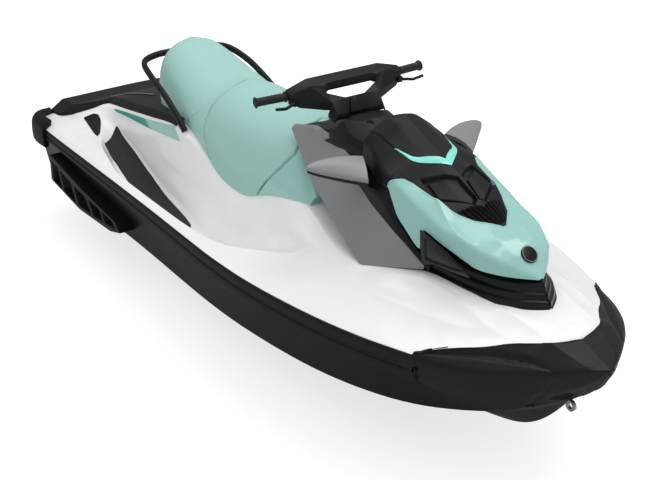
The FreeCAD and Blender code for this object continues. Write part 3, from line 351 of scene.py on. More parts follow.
def faceted(name, points, faces, material, soft=2.5, crease=30.0):
    """A flat-sided moulding: corners of its top on one side, their mirror images, and an underside.

    points maps a letter to station, breadth, height and thickness, and each face is a word of those
    letters, anticlockwise from above.
    """
    letters = list(points)
    half = np.array([points[k] for k in letters], float)
    count = len(letters)
    mirror = [k if half[k, 1] == 0 else k + count for k in range(count)]
    top = [[letters.index(k) for k in word] for word in faces]
    top += [[mirror[k] for k in reversed(face)] for face in top]
    sides = {(face[k - 1], face[k]) for face in top for k in range(len(face))}
    rim = [side for side in sides if side[::-1] not in sides]
    upper = np.concatenate([half, half * [1, -1, 1, 1]])
    verts = np.concatenate([upper[:, :3], upper[:, :3] - upper[:, 3:] * [0, 0, 1]])
    under = [[k + 2 * count for k in reversed(face)] for face in top]
    walls = [[v, u, u + 2 * count, v + 2 * count] for u, v in rim]
    return finished_mesh(name, verts, top + under + walls, material, crease, soft)


print("a rounded section of 5 corners has", rounded(np.random.RandomState(1).rand(1, 5, 3), 0.1).shape[1], "points")

# %% [markdown]
# ## Materials
# Real craft of this kind use a short list of finishes. Gelcoat is a glossy polyester skin with very
# slight waves. The dark trim is moulded polypropylene with a fine leather grain. The coloured covers
# are painted and glossy. The seat is grained marine vinyl, the footwell mats are grooved EVA foam.
# Each colour is an sRGB hex value that one function turns to linear, and each pattern is scaled from
# a size in millimetres.

# %% Colour and node helpers


def colour(code):
    """Linear RGBA of an sRGB hex colour."""
    srgb = np.array([int(code[k:k + 2], 16) for k in (1, 3, 5)]) / 255
    linear = np.where(srgb <= 0.04045, srgb / 12.92, ((srgb + 0.055) / 1.055) ** 2.4)
    return (*linear, 1.0)


def node(tree, kind, settings=None, inputs=None, links=None):
    """Adds a node. settings are its own fields, inputs are numbers, links take other nodes' outputs."""
    made = tree.nodes.new(kind)
    for field, value in (settings or {}).items():
        setattr(made, field, value)
    for socket, value in (inputs or {}).items():
        made.inputs[socket].default_value = value
    for socket, source in (links or {}).items():
        tree.links.new(source, made.inputs[socket])
    return made


def blank_material(name, base, roughness, **constants):
    """A Principled material with its constants on the shader's own sockets."""
    made = bpy.data.materials.new(name)
    made.use_nodes = True
    tree = made.node_tree
    shader = tree.nodes["Principled BSDF"]
    shader.inputs["Base Color"].default_value = colour(base)
    shader.inputs["Roughness"].default_value = roughness
    for socket, value in constants.items():
        shader.inputs[socket.replace("_", " ")].default_value = value
    made.diffuse_color = colour(base)
    return made, tree, shader


def finish_surface(tree, shader, height=None, strength=0.2, depth_mm=0.2, shade=None, tones=None, rough=None):
    """Joins a pattern's output to bump, to a two-tone colour and to roughness, where they are given."""
    if height is not None:
        bump = node(tree, "ShaderNodeBump", None, {"Strength": strength, "Distance": depth_mm / 1000},
                    {"Height": height})
        tree.links.new(bump.outputs["Normal"], shader.inputs["Normal"])
    if tones is not None:
        ramp = node(tree, "ShaderNodeValToRGB", None, None, {"Fac": shade})
        ramp.color_ramp.elements[0].color = colour(tones[0])
        ramp.color_ramp.elements[1].color = colour(tones[1])
        ramp.color_ramp.elements[0].position, ramp.color_ramp.elements[1].position = 0.3, 0.7
        tree.links.new(ramp.outputs["Color"], shader.inputs["Base Color"])
    if rough is not None:
        spread = node(tree, "ShaderNodeMapRange", None, {"To Min": rough[0], "To Max": rough[1]},
                      {"Value": shade})
        tree.links.new(spread.outputs["Result"], shader.inputs["Roughness"])


def object_place(tree):
    """The Object output of a new Texture Coordinate node."""
    return node(tree, "ShaderNodeTexCoord").outputs["Object"]


def per_metre(size_mm):
    """Texture scale that gives a pattern features of that size."""
    return 1000.0 / size_mm


print("mint in linear light:", [round(v, 3) for v in colour("#A6D3CD")[:3]])

# %% Gelcoat, painted covers and satin covers
# Sprayed polyester gelcoat over glass fibre: very glossy, with slow waves about 90 mm apart.
gelcoat_white, tree, shader = blank_material("gelcoat_white", "#F4F4F5", 0.22, Coat_Weight=0.3, Coat_Roughness=0.05)
waves = node(tree, "ShaderNodeTexNoise", None, {"Scale": per_metre(90), "Detail": 2.0}, {"Vector": object_place(tree)})
finish_surface(tree, shader, waves.outputs["Fac"], 0.05, 0.3, waves.outputs["Fac"], ("#F3F3F4", "#F6F6F7"))

# The same gelcoat in black on the hull, a little duller from handling.
gelcoat_black, tree, shader = blank_material("gelcoat_black", "#111112", 0.4, Specular_IOR_Level=0.2)
waves = node(tree, "ShaderNodeTexNoise", None, {"Scale": per_metre(70), "Detail": 3.0}, {"Vector": object_place(tree)})
finish_surface(tree, shader, waves.outputs["Fac"], 0.05, 0.3, waves.outputs["Fac"], ("#101011", "#141415"),
               (0.32, 0.42))

# Painted injection-moulded cover: orange peel of 5 mm under a clear coat.
painted_mint, tree, shader = blank_material("painted_mint", "#8CC0B9", 0.24, Coat_Weight=0.5, Coat_Roughness=0.06)
peel = node(tree, "ShaderNodeTexNoise", None, {"Scale": per_metre(5), "Detail": 1.0}, {"Vector": object_place(tree)})
finish_surface(tree, shader, peel.outputs["Fac"], 0.05, 0.1, peel.outputs["Fac"], ("#94C6BF", "#9ACCC5"))

# Satin moulded-in grey with a faint metallic flake.
satin_grey, tree, shader = blank_material("satin_grey", "#8B8B8D", 0.36, Coat_Weight=0.2, Coat_Roughness=0.2,
                                          Metallic=0.15)
flake = node(tree, "ShaderNodeTexNoise", None, {"Scale": per_metre(2), "Detail": 2.0}, {"Vector": object_place(tree)})
finish_surface(tree, shader, flake.outputs["Fac"], 0.06, 0.1, flake.outputs["Fac"], ("#858587", "#929294"),
               (0.32, 0.42))

# %% Trim, rubber, vinyl and foam
# Polypropylene trim from a textured mould: leather grain of 2 mm, drawn at 3 mm so that it shows.
moulded_black, tree, shader = blank_material("moulded_black", "#101112", 0.42, Specular_IOR_Level=0.3)
grain = node(tree, "ShaderNodeTexVoronoi", {"feature": "F1"}, {"Scale": per_metre(3)}, {"Vector": object_place(tree)})
finish_surface(tree, shader, grain.outputs["Distance"], 0.22, 0.25, grain.outputs["Distance"],
               ("#18191A", "#131314"), (0.40, 0.53))

# Glossier black for the bezel, the side intakes, the cowl's band and the small covers.
gloss_black, tree, shader = blank_material("gloss_black", "#0A0B0B", 0.24, Specular_IOR_Level=0.36)
peel = node(tree, "ShaderNodeTexNoise", None, {"Scale": per_metre(6), "Detail": 1.0}, {"Vector": object_place(tree)})
finish_surface(tree, shader, peel.outputs["Fac"], 0.05, 0.1, peel.outputs["Fac"], ("#0E0F10", "#121314"))

# Extruded TPE rubbing strip: dull, with a soft cloudy wear.
bumper_rubber, tree, shader = blank_material("bumper_rubber", "#121213", 0.52, Specular_IOR_Level=0.3)
cloud = node(tree, "ShaderNodeTexNoise", None, {"Scale": per_metre(25), "Detail": 4.0}, {"Vector": object_place(tree)})
finish_surface(tree, shader, cloud.outputs["Fac"], 0.15, 0.3, cloud.outputs["Fac"], ("#101112", "#151617"), (0.46, 0.6))

# Moulded grip rubber with a fine grit of 1.5 mm.
grip_rubber, tree, shader = blank_material("grip_rubber", "#1B1B1D", 0.6)
grit = node(tree, "ShaderNodeTexNoise", None, {"Scale": per_metre(1.5), "Detail": 2.0}, {"Vector": object_place(tree)})
finish_surface(tree, shader, grit.outputs["Fac"], 0.3, 0.2, grit.outputs["Fac"], ("#19191B", "#222224"))

# Marine vinyl over foam: pebble grain of 2.5 mm and a soft sheen.
marine_vinyl, tree, shader = blank_material("marine_vinyl", "#9FCDC6", 0.46, Sheen_Weight=0.15, Sheen_Roughness=0.4)
pebble = node(tree, "ShaderNodeTexVoronoi", {"feature": "SMOOTH_F1"}, {"Scale": per_metre(2.5), "Smoothness": 0.6},
              {"Vector": object_place(tree)})
finish_surface(tree, shader, pebble.outputs["Distance"], 0.25, 0.25, pebble.outputs["Distance"],
               ("#A2D0C9", "#98C6BF"), (0.4, 0.54))

# EVA foam mat, laid in the footwells: matt, with a closed-cell speckle of 1.2 mm.
foam_black, tree, shader = blank_material("foam_black", "#28292B", 0.85)
cells = node(tree, "ShaderNodeTexNoise", None, {"Scale": per_metre(1.2), "Detail": 2.0}, {"Vector": object_place(tree)})
finish_surface(tree, shader, cells.outputs["Fac"], 0.4, 0.3, cells.outputs["Fac"], ("#232426", "#303133"))

# %% Metals, glass and film
# Sand-cast aluminium, bead blasted: grains of 1.5 mm.
cast_aluminium, tree, shader = blank_material("cast_aluminium", "#A9ABAE", 0.45, Metallic=1.0)
sand = node(tree, "ShaderNodeTexNoise", None, {"Scale": per_metre(1.5), "Detail": 3.0}, {"Vector": object_place(tree)})
finish_surface(tree, shader, sand.outputs["Fac"], 0.25, 0.2, sand.outputs["Fac"], ("#9EA0A3", "#B4B6B9"), (0.38, 0.52))

# Stainless steel, brushed along its length at 0.8 mm.
brushed_steel, tree, shader = blank_material("brushed_steel", "#B9BBBE", 0.28, Metallic=1.0)
stretch = node(tree, "ShaderNodeMapping", None, {"Scale": (0.05, 1.0, 1.0)}, {"Vector": object_place(tree)})
brush = node(tree, "ShaderNodeTexNoise", None, {"Scale": per_metre(0.8), "Detail": 2.0},
             {"Vector": stretch.outputs["Vector"]})
finish_surface(tree, shader, brush.outputs["Fac"], 0.15, 0.05, brush.outputs["Fac"], ("#B0B2B5", "#C4C6C9"),
               (0.22, 0.36))

# Painted engine block in grey enamel over a casting.
engine_enamel, tree, shader = blank_material("engine_enamel", "#5A5C60", 0.5, Metallic=0.3)
sand = node(tree, "ShaderNodeTexNoise", None, {"Scale": per_metre(3), "Detail": 3.0}, {"Vector": object_place(tree)})
finish_surface(tree, shader, sand.outputs["Fac"], 0.3, 0.4, sand.outputs["Fac"], ("#54565A", "#626468"))

# Silvered mirror glass, and the tinted lens over the display.
mirror_glass, tree, shader = blank_material("mirror_glass", "#D9DEE2", 0.03, Metallic=1.0)
faint = node(tree, "ShaderNodeTexNoise", None, {"Scale": per_metre(40), "Detail": 1.0}, {"Vector": object_place(tree)})
finish_surface(tree, shader, faint.outputs["Fac"], 0.01, 0.05, faint.outputs["Fac"], ("#D6DBDF", "#DDE2E6"))
tinted_lens, tree, shader = blank_material("tinted_lens", "#0E1114", 0.08, Coat_Weight=0.6, Coat_Roughness=0.03)
faint = node(tree, "ShaderNodeTexNoise", None, {"Scale": per_metre(30), "Detail": 1.0}, {"Vector": object_place(tree)})
finish_surface(tree, shader, faint.outputs["Fac"], 0.01, 0.05, faint.outputs["Fac"], ("#0C0F12", "#11151A"))

# Cast vinyl film in two greens, for the plain stripes.
film_teal, tree, shader = blank_material("film_teal", "#0F9B8C", 0.3, Coat_Weight=0.3)
faint = node(tree, "ShaderNodeTexNoise", None, {"Scale": per_metre(20), "Detail": 1.0}, {"Vector": object_place(tree)})
finish_surface(tree, shader, faint.outputs["Fac"], 0.03, 0.1, faint.outputs["Fac"], ("#0C9688", "#13A192"))
film_aqua, tree, shader = blank_material("film_aqua", "#86E4D5", 0.28, Coat_Weight=0.4)
faint = node(tree, "ShaderNodeTexNoise", None, {"Scale": per_metre(20), "Detail": 1.0}, {"Vector": object_place(tree)})
finish_surface(tree, shader, faint.outputs["Fac"], 0.03, 0.1, faint.outputs["Fac"], ("#82DFD0", "#8BE9DA"))
print("materials:", len(bpy.data.materials))

# %% [markdown]
# ## Finishes for the CAD pieces that stay
# The works under the craft and the small hardware keep their CAD shape. They only need a finish, and a
# modifier that shades their curved faces smoothly while real edges stay sharp. It is a small geometry
# node group: join the loose triangles, shade everything smooth, then mark edges over 30 degrees sharp.

# %% Dress the CAD nodes
finish_of_slot = {
    "deck_white": gelcoat_white, "hull_black": gelcoat_black, "trim_black": moulded_black,
    "panel_mint": painted_mint, "panel_grey": satin_grey, "seat_vinyl": marine_vinyl,
    "mat_black": foam_black, "bumper_rubber": bumper_rubber, "grip_rubber": grip_rubber,
    "metal_cast": cast_aluminium, "metal_steel": brushed_steel, "engine_grey": engine_enamel,
    "mirror_silver": mirror_glass, "screen_dark": tinted_lens}
slot_of_node = {row["node"]: row["material_slot"] for row in frame["record"]["subparts"]}

shading = bpy.data.node_groups.new("smooth_with_edges", "GeometryNodeTree")
shading.interface.new_socket("Geometry", in_out="INPUT", socket_type="NodeSocketGeometry")
shading.interface.new_socket("Geometry", in_out="OUTPUT", socket_type="NodeSocketGeometry")
entry = node(shading, "NodeGroupInput")
joined = node(shading, "GeometryNodeMergeByDistance", None, {"Distance": 1e-5}, {"Geometry": entry.outputs[0]})
smooth = node(shading, "GeometryNodeSetShadeSmooth", {"domain": "FACE"}, {"Shade Smooth": True},
              {"Geometry": joined.outputs["Geometry"]})
angle = node(shading, "GeometryNodeInputMeshEdgeAngle")
steep = node(shading, "FunctionNodeCompare", {"operation": "GREATER_THAN"}, {"B": math.radians(30)},
             {"A": angle.outputs["Unsigned Angle"]})
edges = node(shading, "GeometryNodeSetShadeSmooth", {"domain": "EDGE"}, {"Shade Smooth": False},
             {"Geometry": smooth.outputs["Geometry"], "Selection": steep.outputs["Result"]})
node(shading, "NodeGroupOutput", None, None, {0: edges.outputs["Geometry"]})
for name, piece in frame["nodes"].items():
    piece.data.materials.clear()
    piece.data.materials.append(finish_of_slot[slot_of_node[name]])
    modifier = piece.modifiers.new("shading", "NODES")
    modifier.node_group = shading
print("dressed", len(frame["nodes"]), "nodes")


def fit(piece, body, slot, *nodes):
    """The piece rides on a body and stands for the CAD nodes that it covers. slot is not used."""
    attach(piece, body)
    if nodes:
        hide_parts(*nodes)
    return piece


# %% [markdown]
# ## The deck
# The deck is one glass-fibre moulding, white all over. Its section runs from the centre line out over
# a shoulder, down the inner wall of the footwell, across its floor, up to the gunwale's crest and over
# the lip where the rubbing rail sits. Ahead of the footwells the same columns lie on the open foredeck,
# so one grid covers the boat from stern to bow.

# %% Sheer line and deck grid
def path_length(path):
    """Sum of the distances between neighbouring points, to the nearest millimetre."""
    return round(float(np.linalg.norm(np.diff(path, axis=0), axis=1).sum()))


sheer_table = (
    (0.0, 0.900), (0.035, 0.930), (0.10, 0.942), (0.20, 0.950), (0.30, 0.957), (0.40, 0.968),
    (0.50, 0.984), (0.55, 0.990), (0.60, 0.984), (0.65, 0.962), (0.70, 0.925), (0.75, 0.875),
    (0.80, 0.806), (0.85, 0.712), (0.875, 0.663), (0.90, 0.605), (0.925, 0.520), (0.95, 0.400),
    (0.975, 0.240), (0.99, 0.115), (1.0, 0.020))
RAIL_TOP_STERN, RAIL_TOP_BOW, BUMPER_BACK = 470.0, 528.0, 2852.0


def sheer(x):
    """Half breadth of the rubbing rail at a station, in millimetres."""
    return smooth_table(sheer_table, np.atleast_1d(x))[:, 0] * HALF_BEAM


def rail_top(x):
    """Height of the rail's top edge: a straight rise from the stern to the bow."""
    return RAIL_TOP_STERN + (RAIL_TOP_BOW - RAIL_TOP_STERN) * np.asarray(x) / LENGTH


# Gunwale crest, well crest, floor outer edge, floor inner edge, wall foot, shoulder, centre height
deck_table = (
    (0.012, 0.880, 0.482, 0.700, 0.500, 0.665, 0.508, 0.630, 0.515, 0.600, 0.523, 0.560, 0.530, 0.530),
    (0.040, 0.882, 0.488, 0.680, 0.508, 0.640, 0.520, 0.605, 0.527, 0.570, 0.535, 0.525, 0.545, 0.548),
    (0.070, 0.885, 0.495, 0.660, 0.515, 0.610, 0.528, 0.570, 0.540, 0.530, 0.552, 0.480, 0.568, 0.575),
    (0.100, 0.887, 0.497, 0.645, 0.518, 0.575, 0.530, 0.530, 0.545, 0.500, 0.560, 0.463, 0.585, 0.592),
    (0.115, 0.888, 0.498, 0.600, 0.512, 0.530, 0.508, 0.490, 0.512, 0.476, 0.530, 0.456, 0.592, 0.600),
    (0.132, 0.889, 0.499, 0.640, 0.502, 0.560, 0.466, 0.475, 0.466, 0.466, 0.500, 0.449, 0.601, 0.609),
    (0.165, 0.891, 0.500, 0.735, 0.501, 0.660, 0.440, 0.482, 0.440, 0.465, 0.490, 0.444, 0.620, 0.627),
    (0.220, 0.896, 0.502, 0.812, 0.502, 0.740, 0.385, 0.490, 0.385, 0.465, 0.475, 0.438, 0.650, 0.650),
    (0.280, 0.900, 0.503, 0.878, 0.502, 0.790, 0.345, 0.512, 0.345, 0.465, 0.450, 0.433, 0.680, 0.680),
    (0.330, 0.902, 0.504, 0.885, 0.503, 0.793, 0.342, 0.540, 0.342, 0.468, 0.450, 0.428, 0.650, 0.650),
    (0.400, 0.904, 0.505, 0.888, 0.504, 0.790, 0.340, 0.578, 0.340, 0.456, 0.452, 0.426, 0.555, 0.555),
    (0.450, 0.904, 0.506, 0.888, 0.505, 0.785, 0.342, 0.600, 0.342, 0.458, 0.460, 0.427, 0.550, 0.560),
    (0.500, 0.895, 0.508, 0.870, 0.507, 0.760, 0.375, 0.600, 0.375, 0.475, 0.482, 0.430, 0.605, 0.610),
    (0.540, 0.862, 0.512, 0.835, 0.512, 0.730, 0.425, 0.592, 0.425, 0.500, 0.530, 0.432, 0.648, 0.650),
    (0.562, 0.835, 0.514, 0.780, 0.520, 0.700, 0.460, 0.588, 0.460, 0.520, 0.560, 0.436, 0.664, 0.668),
    (0.600, 0.760, 0.530, 0.690, 0.540, 0.640, 0.515, 0.580, 0.515, 0.540, 0.610, 0.445, 0.688, 0.690),
    (0.652, 0.730, 0.550, 0.640, 0.580, 0.600, 0.595, 0.575, 0.600, 0.550, 0.612, 0.470, 0.636, 0.660),
    (0.700, 0.700, 0.572, 0.650, 0.588, 0.610, 0.602, 0.575, 0.612, 0.540, 0.620, 0.500, 0.628, 0.640),
    (0.750, 0.640, 0.585, 0.600, 0.598, 0.565, 0.610, 0.530, 0.620, 0.490, 0.633, 0.450, 0.642, 0.642),
    (0.800, 0.570, 0.588, 0.530, 0.602, 0.485, 0.619, 0.440, 0.632, 0.390, 0.646, 0.345, 0.658, 0.658),
    (0.850, 0.540, 0.560, 0.475, 0.582, 0.410, 0.604, 0.350, 0.626, 0.305, 0.640, 0.262, 0.652, 0.654),
    (0.8713, 0.575, 0.548, 0.490, 0.572, 0.415, 0.595, 0.345, 0.616, 0.285, 0.632, 0.220, 0.645, 0.651),
    (0.8890, 0.495, 0.565, 0.440, 0.579, 0.385, 0.594, 0.325, 0.609, 0.265, 0.625, 0.200, 0.639, 0.650),
    (0.9057, 0.420, 0.579, 0.375, 0.588, 0.325, 0.598, 0.275, 0.609, 0.220, 0.622, 0.165, 0.635, 0.646),
    (0.9250, 0.304, 0.597, 0.272, 0.603, 0.238, 0.610, 0.202, 0.618, 0.162, 0.626, 0.120, 0.634, 0.642),
    (0.9394, 0.226, 0.606, 0.200, 0.610, 0.175, 0.614, 0.147, 0.618, 0.117, 0.622, 0.083, 0.627, 0.633),
    (0.9500, 0.174, 0.612, 0.153, 0.615, 0.133, 0.617, 0.110, 0.619, 0.085, 0.621, 0.060, 0.623, 0.626),
    (0.9600, 0.004, 0.607, 0.0036, 0.607, 0.003, 0.6075, 0.0025, 0.608, 0.002, 0.6085, 0.001, 0.609, 0.612))
deck_stations = np.concatenate([stations_between(0.012, 0.85, 180), stations_between(0.8530, 0.9440, 42),
                                stations_between(0.9455, 0.9600, 22)])
deck_corners = section_points(deck_table, deck_stations)
deck_corners[..., 1:] = faired(faired(deck_corners[..., 1:], 6), 4)
edge, top = sheer(deck_stations), rail_top(deck_stations)
afore = deck_stations > BUMPER_BACK
# The bumper's inner edge on the deck, ahead of the rail
bumper_edge = ((0.8595, 0.655, 0.530), (0.8713, 0.585, 0.546), (0.8882, 0.506, 0.563), (0.9057, 0.427, 0.578),
               (0.9247, 0.310, 0.597), (0.9394, 0.229, 0.606), (0.9500, 0.178, 0.613), (0.9560, 0.098, 0.611),
               (0.9608, 0.000, 0.606))
seam = smooth_table(bumper_edge, deck_stations) * [HALF_BEAM, BODY_HEIGHT]
lip = np.stack([deck_stations, np.where(afore, seam[:, 0] + 3, edge - 8),
                np.where(afore, seam[:, 1] - 1, top + 2)], axis=1)
foot = np.stack([deck_stations, np.where(afore, seam[:, 0] + 4, edge - 20),
                 np.where(afore, seam[:, 1] - 14, top - 14)], axis=1)
deck_half = rounded(np.concatenate([foot[:, None], lip[:, None], deck_corners], axis=1),
                    [3, 16, 7, 16, 20, 20, 18], turn=7, run=5)
# Style lines of the foredeck: one from under the bezel outwards, one along the nose, one from the footwell
deck_half = folded(deck_half, ((2560, 262), (2700, 230), (2823, 207), (2960, 212), (3060, 190)), 9, 70, 26, 90)
deck_half = folded(deck_half, ((2900, 140), (2960, 128), (3030, 118), (3090, 112), (3150, 106)), 6, 50, 18, 60)
deck_half = folded(deck_half, ((2450, 395), (2650, 349), (2799, 297), (2909, 258), (2990, 205)), 5, 90, 30, 120)
deck_half = folded(deck_half, ((150, 434), (378, 468), (623, 504), (809, 545)), 5, 40, 14, 90)
deck_grid = whole(deck_half)
# The opening over the storage bin narrows from its back edge to its front edge
BIN_BACK, BIN_TAPER_LENGTH, BIN_BACK_HALF, BIN_TAPER = 2330, 520, 158, 55
BIN_MIDDLE, BIN_HALF_LENGTH, DECK_WALL = 2590, 266, 5
middle = (deck_grid[:-1, :-1] + deck_grid[1:, 1:]) / 2
bin_reach = BIN_BACK_HALF - (middle[..., 0] - BIN_BACK) * BIN_TAPER / BIN_TAPER_LENGTH
over_bin = (abs(middle[..., 0] - BIN_MIDDLE) < BIN_HALF_LENGTH) & (abs(middle[..., 1]) < bin_reach)
deck = skin("deck_skin", deck_grid, gelcoat_white, DECK_WALL, keep=~over_bin)
fit(deck, "craft", "deck_white", "deck_shell", "side_deck_left", "side_deck_right")

# A rubber seal lies on the deck round the storage bin
seal_line = np.array([(2326, 153, 0), (2326, -153, 0), (2854, -98, 0), (2854, 98, 0), (2326, 153, 0)], float)
SEAL_HEIGHT = 664
seal_path = np.concatenate([seal_line[k] + (seal_line[k + 1] - seal_line[k]) * np.linspace(0.03, 0.97, 20)[:, None]
                            for k in range(4)])
seal_path = np.concatenate([seal_path, seal_path[:1]]) + [0, 0, SEAL_HEIGHT]
outline = ((2, -40), (2, 6), (6, 9), (22, 5), (26, 0), (26, -6), (8, -8), (8, -40))
seal = closed_form("bin_seal", swept(seal_path, outline), bumper_rubber, crease=50)
fit(seal, "craft", "bumper_rubber")
print("deck grid", deck_grid.shape)


def on_deck(x, y):
    """Deck height at a station, for one breadth or an array of them, from the grid's own sections."""
    row = np.interp(x, deck_stations, np.arange(len(deck_stations)))
    low, high = int(row), min(int(row) + 1, len(deck_stations) - 1)
    heights = [np.interp(abs(y), deck_half[k, ::-1, 1], deck_half[k, ::-1, 2]) for k in (low, high)]
    return heights[0] + (heights[1] - heights[0]) * (row - low)


def on_wall(x, z):
    """Breadth of the footwell's inner wall at a station and a height."""
    row = int(round(float(np.interp(x, deck_stations, np.arange(len(deck_stations))))))
    wall_part = deck_half[row, corner_column(6, 7, 5):corner_column(8, 7, 5)]
    return float(np.interp(z, wall_part[:, 2], wall_part[:, 1]))


# %% [markdown]
# ## Mats, recess and stripes
# Grooved foam lies in each footwell so that a wet foot doesn't slip. A pad is a grid between two edges
# that takes its height from the deck below it, with a groove every 12 mm. The dark recess on the quarter
# and the two stripes are thin sheets laid on the deck and its wall in the same way, because a film has
# almost no thickness of its own.

# %% Footwell mats, quarter recess and plain stripes
# Mat rows: station, inner edge and outer edge of the mat
mat_table = ((402, 303, 315), (415, 300, 330), (460, 300, 374), (520, 303, 430), (580, 305, 428), (623, 307, 424),
             (763, 314, 434), (860, 322, 460), (920, 330, 474), (1080, 350, 478), (1180, 364, 468),
             (1240, 376, 446), (1268, 386, 420), (1278, 396, 406))
rows = np.array(mat_table, float)
mat_x = np.linspace(402, 1278, 130)
inner, outer = (np.interp(mat_x, rows[:, 0], rows[:, k]) for k in (1, 2))
inner, outer = faired(inner[:, None], 3)[:, 0], faired(outer[:, None], 3)[:, 0]
MAT_THICK, MAT_EDGE, GROOVE_PITCH, GROOVE_DEPTH = 5.0, 4.0, 12.0, 1.2
mat_grid = []
for x, a, b in zip(mat_x, inner, outer):
    y = np.linspace(a, b, 60)
    edge_drop = MAT_THICK * (1 - np.minimum(1, np.minimum(y - a, b - y) / MAT_EDGE))
    groove = GROOVE_DEPTH * np.clip(np.cos(2 * np.pi * y / GROOVE_PITCH) * 4 - 3, 0, 1)
    mat_grid.append(np.stack([0 * y + x, y, on_deck(x, y) + MAT_THICK - edge_drop - groove], axis=1))
mat_grid = np.array(mat_grid)
# Port and starboard: the sign of the breadth, and the word at the end of a piece's name
SIDES = ((1, "left"), (-1, "right"))
for side, word in SIDES:
    fit(skin("footwell_pad_" + word, mat_grid * [1, side, 1], foam_black, 4, crease=50), "craft", "mat_black",
        "footwell_mat_" + word)

outline = np.array(((246, 405), (263, 361), (295, 349), (336, 356), (438, 410), (464, 436), (431, 436),
                    (333, 421)), float)
LINING_LIFT, FILM_LIFT = 1.2, 1.4
centre = outline.mean(0)
corners_in = np.concatenate([outline, outline[:1]])
ring = np.concatenate([corners_in[k] + (corners_in[k + 1] - corners_in[k]) * np.linspace(0.12, 0.88, 9)[:, None]
                       for k in range(len(outline))])
lining = np.array([[(x, y, on_deck(x, y) + LINING_LIFT) for x, y in centre + (ring - centre) * r]
                   for r in (0.02, 0.25, 0.5, 0.75, 0.9, 0.97, 1.03)])
lining = np.concatenate([lining, lining[:, :1]], axis=1)
# Stripes in side view: station and height along the top edge, then along the lower edge
stripes = (("stripe_dark", film_teal, ((356, 577), (657, 619)), ((383, 568), (706, 587))),
           ("stripe_pale", painted_mint, ((662, 620), (937, 672)), ((712, 587), (990, 616))))
for side, word in SIDES:
    fit(skin("quarter_recess_" + word, lining * [1, side, 1], moulded_black, 1, crease=60), "craft", "trim_black")
    for name, material, upper, lower in stripes:
        rows = []
        for t in np.linspace(0, 1, 40):
            (xa, za), (xb, zb) = (np.array(e[0]) + (np.array(e[1]) - np.array(e[0])) * t for e in (upper, lower))
            line = [(xb + (xa - xb) * v, zb + (za - zb) * v) for v in np.linspace(0, 1, 8)]
            rows.append([(x, on_wall(x, z) + FILM_LIFT, z) for x, z in line])
        film = skin(name + "_" + word, np.array(rows) * [1, side, 1], material, 0.8, (0, side, 0.3), 60)
        fit(film, "craft", "panel_mint")
print("mat grid", mat_grid.shape)

# %% [markdown]
# ## Rubbing rail and bumpers
# A rubber rail covers the joint between hull and deck. Its section is a flat strip with a groove along
# its middle, carried along the sheer line. At the bow it runs into a large moulded bumper, whose top
# face slopes to a crease and whose lower face leans in towards the stem.

# %% Rubbing rail
RAIL_BACK, RAIL_FRONT, RAIL_FOOT = 112.0, 2862.0, 424.0
rail_x = np.linspace(RAIL_BACK, RAIL_FRONT, 140)
rail_edge, rail_high = sheer(rail_x), rail_top(rail_x)
rail_profile = ((-20, 0.0), (-6, 0.0), (0, 0.07), (0, 0.36), (-5, 0.42), (-5, 0.52), (0, 0.58),
                (0, 0.86), (-4, 0.98), (-20, 1.0))
rail_rows = np.stack([np.stack([rail_x, rail_edge + out, RAIL_FOOT + up * (rail_high - RAIL_FOOT)], axis=1)
                      for out, up in rail_profile], axis=1)
rail_grid = rounded(rail_rows, [2, 3, 3, 2, 2, 3, 4, 3], turn=4, run=1)
for side, word in SIDES:
    rail = closed_form("rubbing_rail_" + word, rail_grid * [1, side, 1], bumper_rubber, crease=50)
    fit(rail, "craft", "bumper_rubber", "gunwale_rail_" + word)
print("rail length", path_length(rail_grid[:, 0]), "mm")

# %% Bow bumper
# Inner edge on the deck, as a breadth and a height, then the crease and the foot of the lower face
bumper_table = (
    (0.8430, 0.716, 0.478, 0.474, 0.452),
    (0.8475, 0.706, 0.500, 0.490, 0.438),
    (0.8530, 0.690, 0.516, 0.502, 0.424),
    (0.8595, 0.655, 0.530, 0.508, 0.412),
    (0.8713, 0.585, 0.546, 0.512, 0.404),
    (0.8882, 0.506, 0.563, 0.517, 0.402),
    (0.9057, 0.427, 0.578, 0.522, 0.402),
    (0.9247, 0.310, 0.597, 0.529, 0.402),
    (0.9394, 0.229, 0.606, 0.536, 0.403),
    (0.9500, 0.178, 0.613, 0.540, 0.403),
    (0.9560, 0.098, 0.611, 0.542, 0.404),
    (0.9608, 0.000, 0.606, 0.544, 0.404),
    (0.9760, 0.000, 0.589, 0.549, 0.426),
    (0.9888, 0.000, 0.571, 0.553, 0.471),
    (0.9965, 0.000, 0.561, 0.554, 0.516),
    (0.9998, 0.000, 0.556, 0.555, 0.548))
bumper_x = np.concatenate([stations_between(0.8430, 0.944, 84), stations_between(0.9448, 0.961, 26),
                           stations_between(0.9618, 0.9998, 44)])
b = smooth_table(bumper_table, bumper_x)
edge = sheer(bumper_x)
FOLD_START, FOLD_END, NOSE_TIP = 3150, 3286, 3317
# The lower face leans in by a fixed amount, less where the bow is narrow and much more at the nose
LEAN, NARROW_BOW, NOSE_LEAN, NOSE_FADE = 17, 250, 0.38, 90
lean = LEAN * np.minimum(1, edge / NARROW_BOW) + NOSE_LEAN * edge * eased((bumper_x - FOLD_START) / NOSE_FADE)
inner_y = b[:, 0] * HALF_BEAM
inner_z, crease_z, foot_z = (b[:, 1:] * BODY_HEIGHT).T
middle_z = foot_z + (crease_z - foot_z) * 0.42
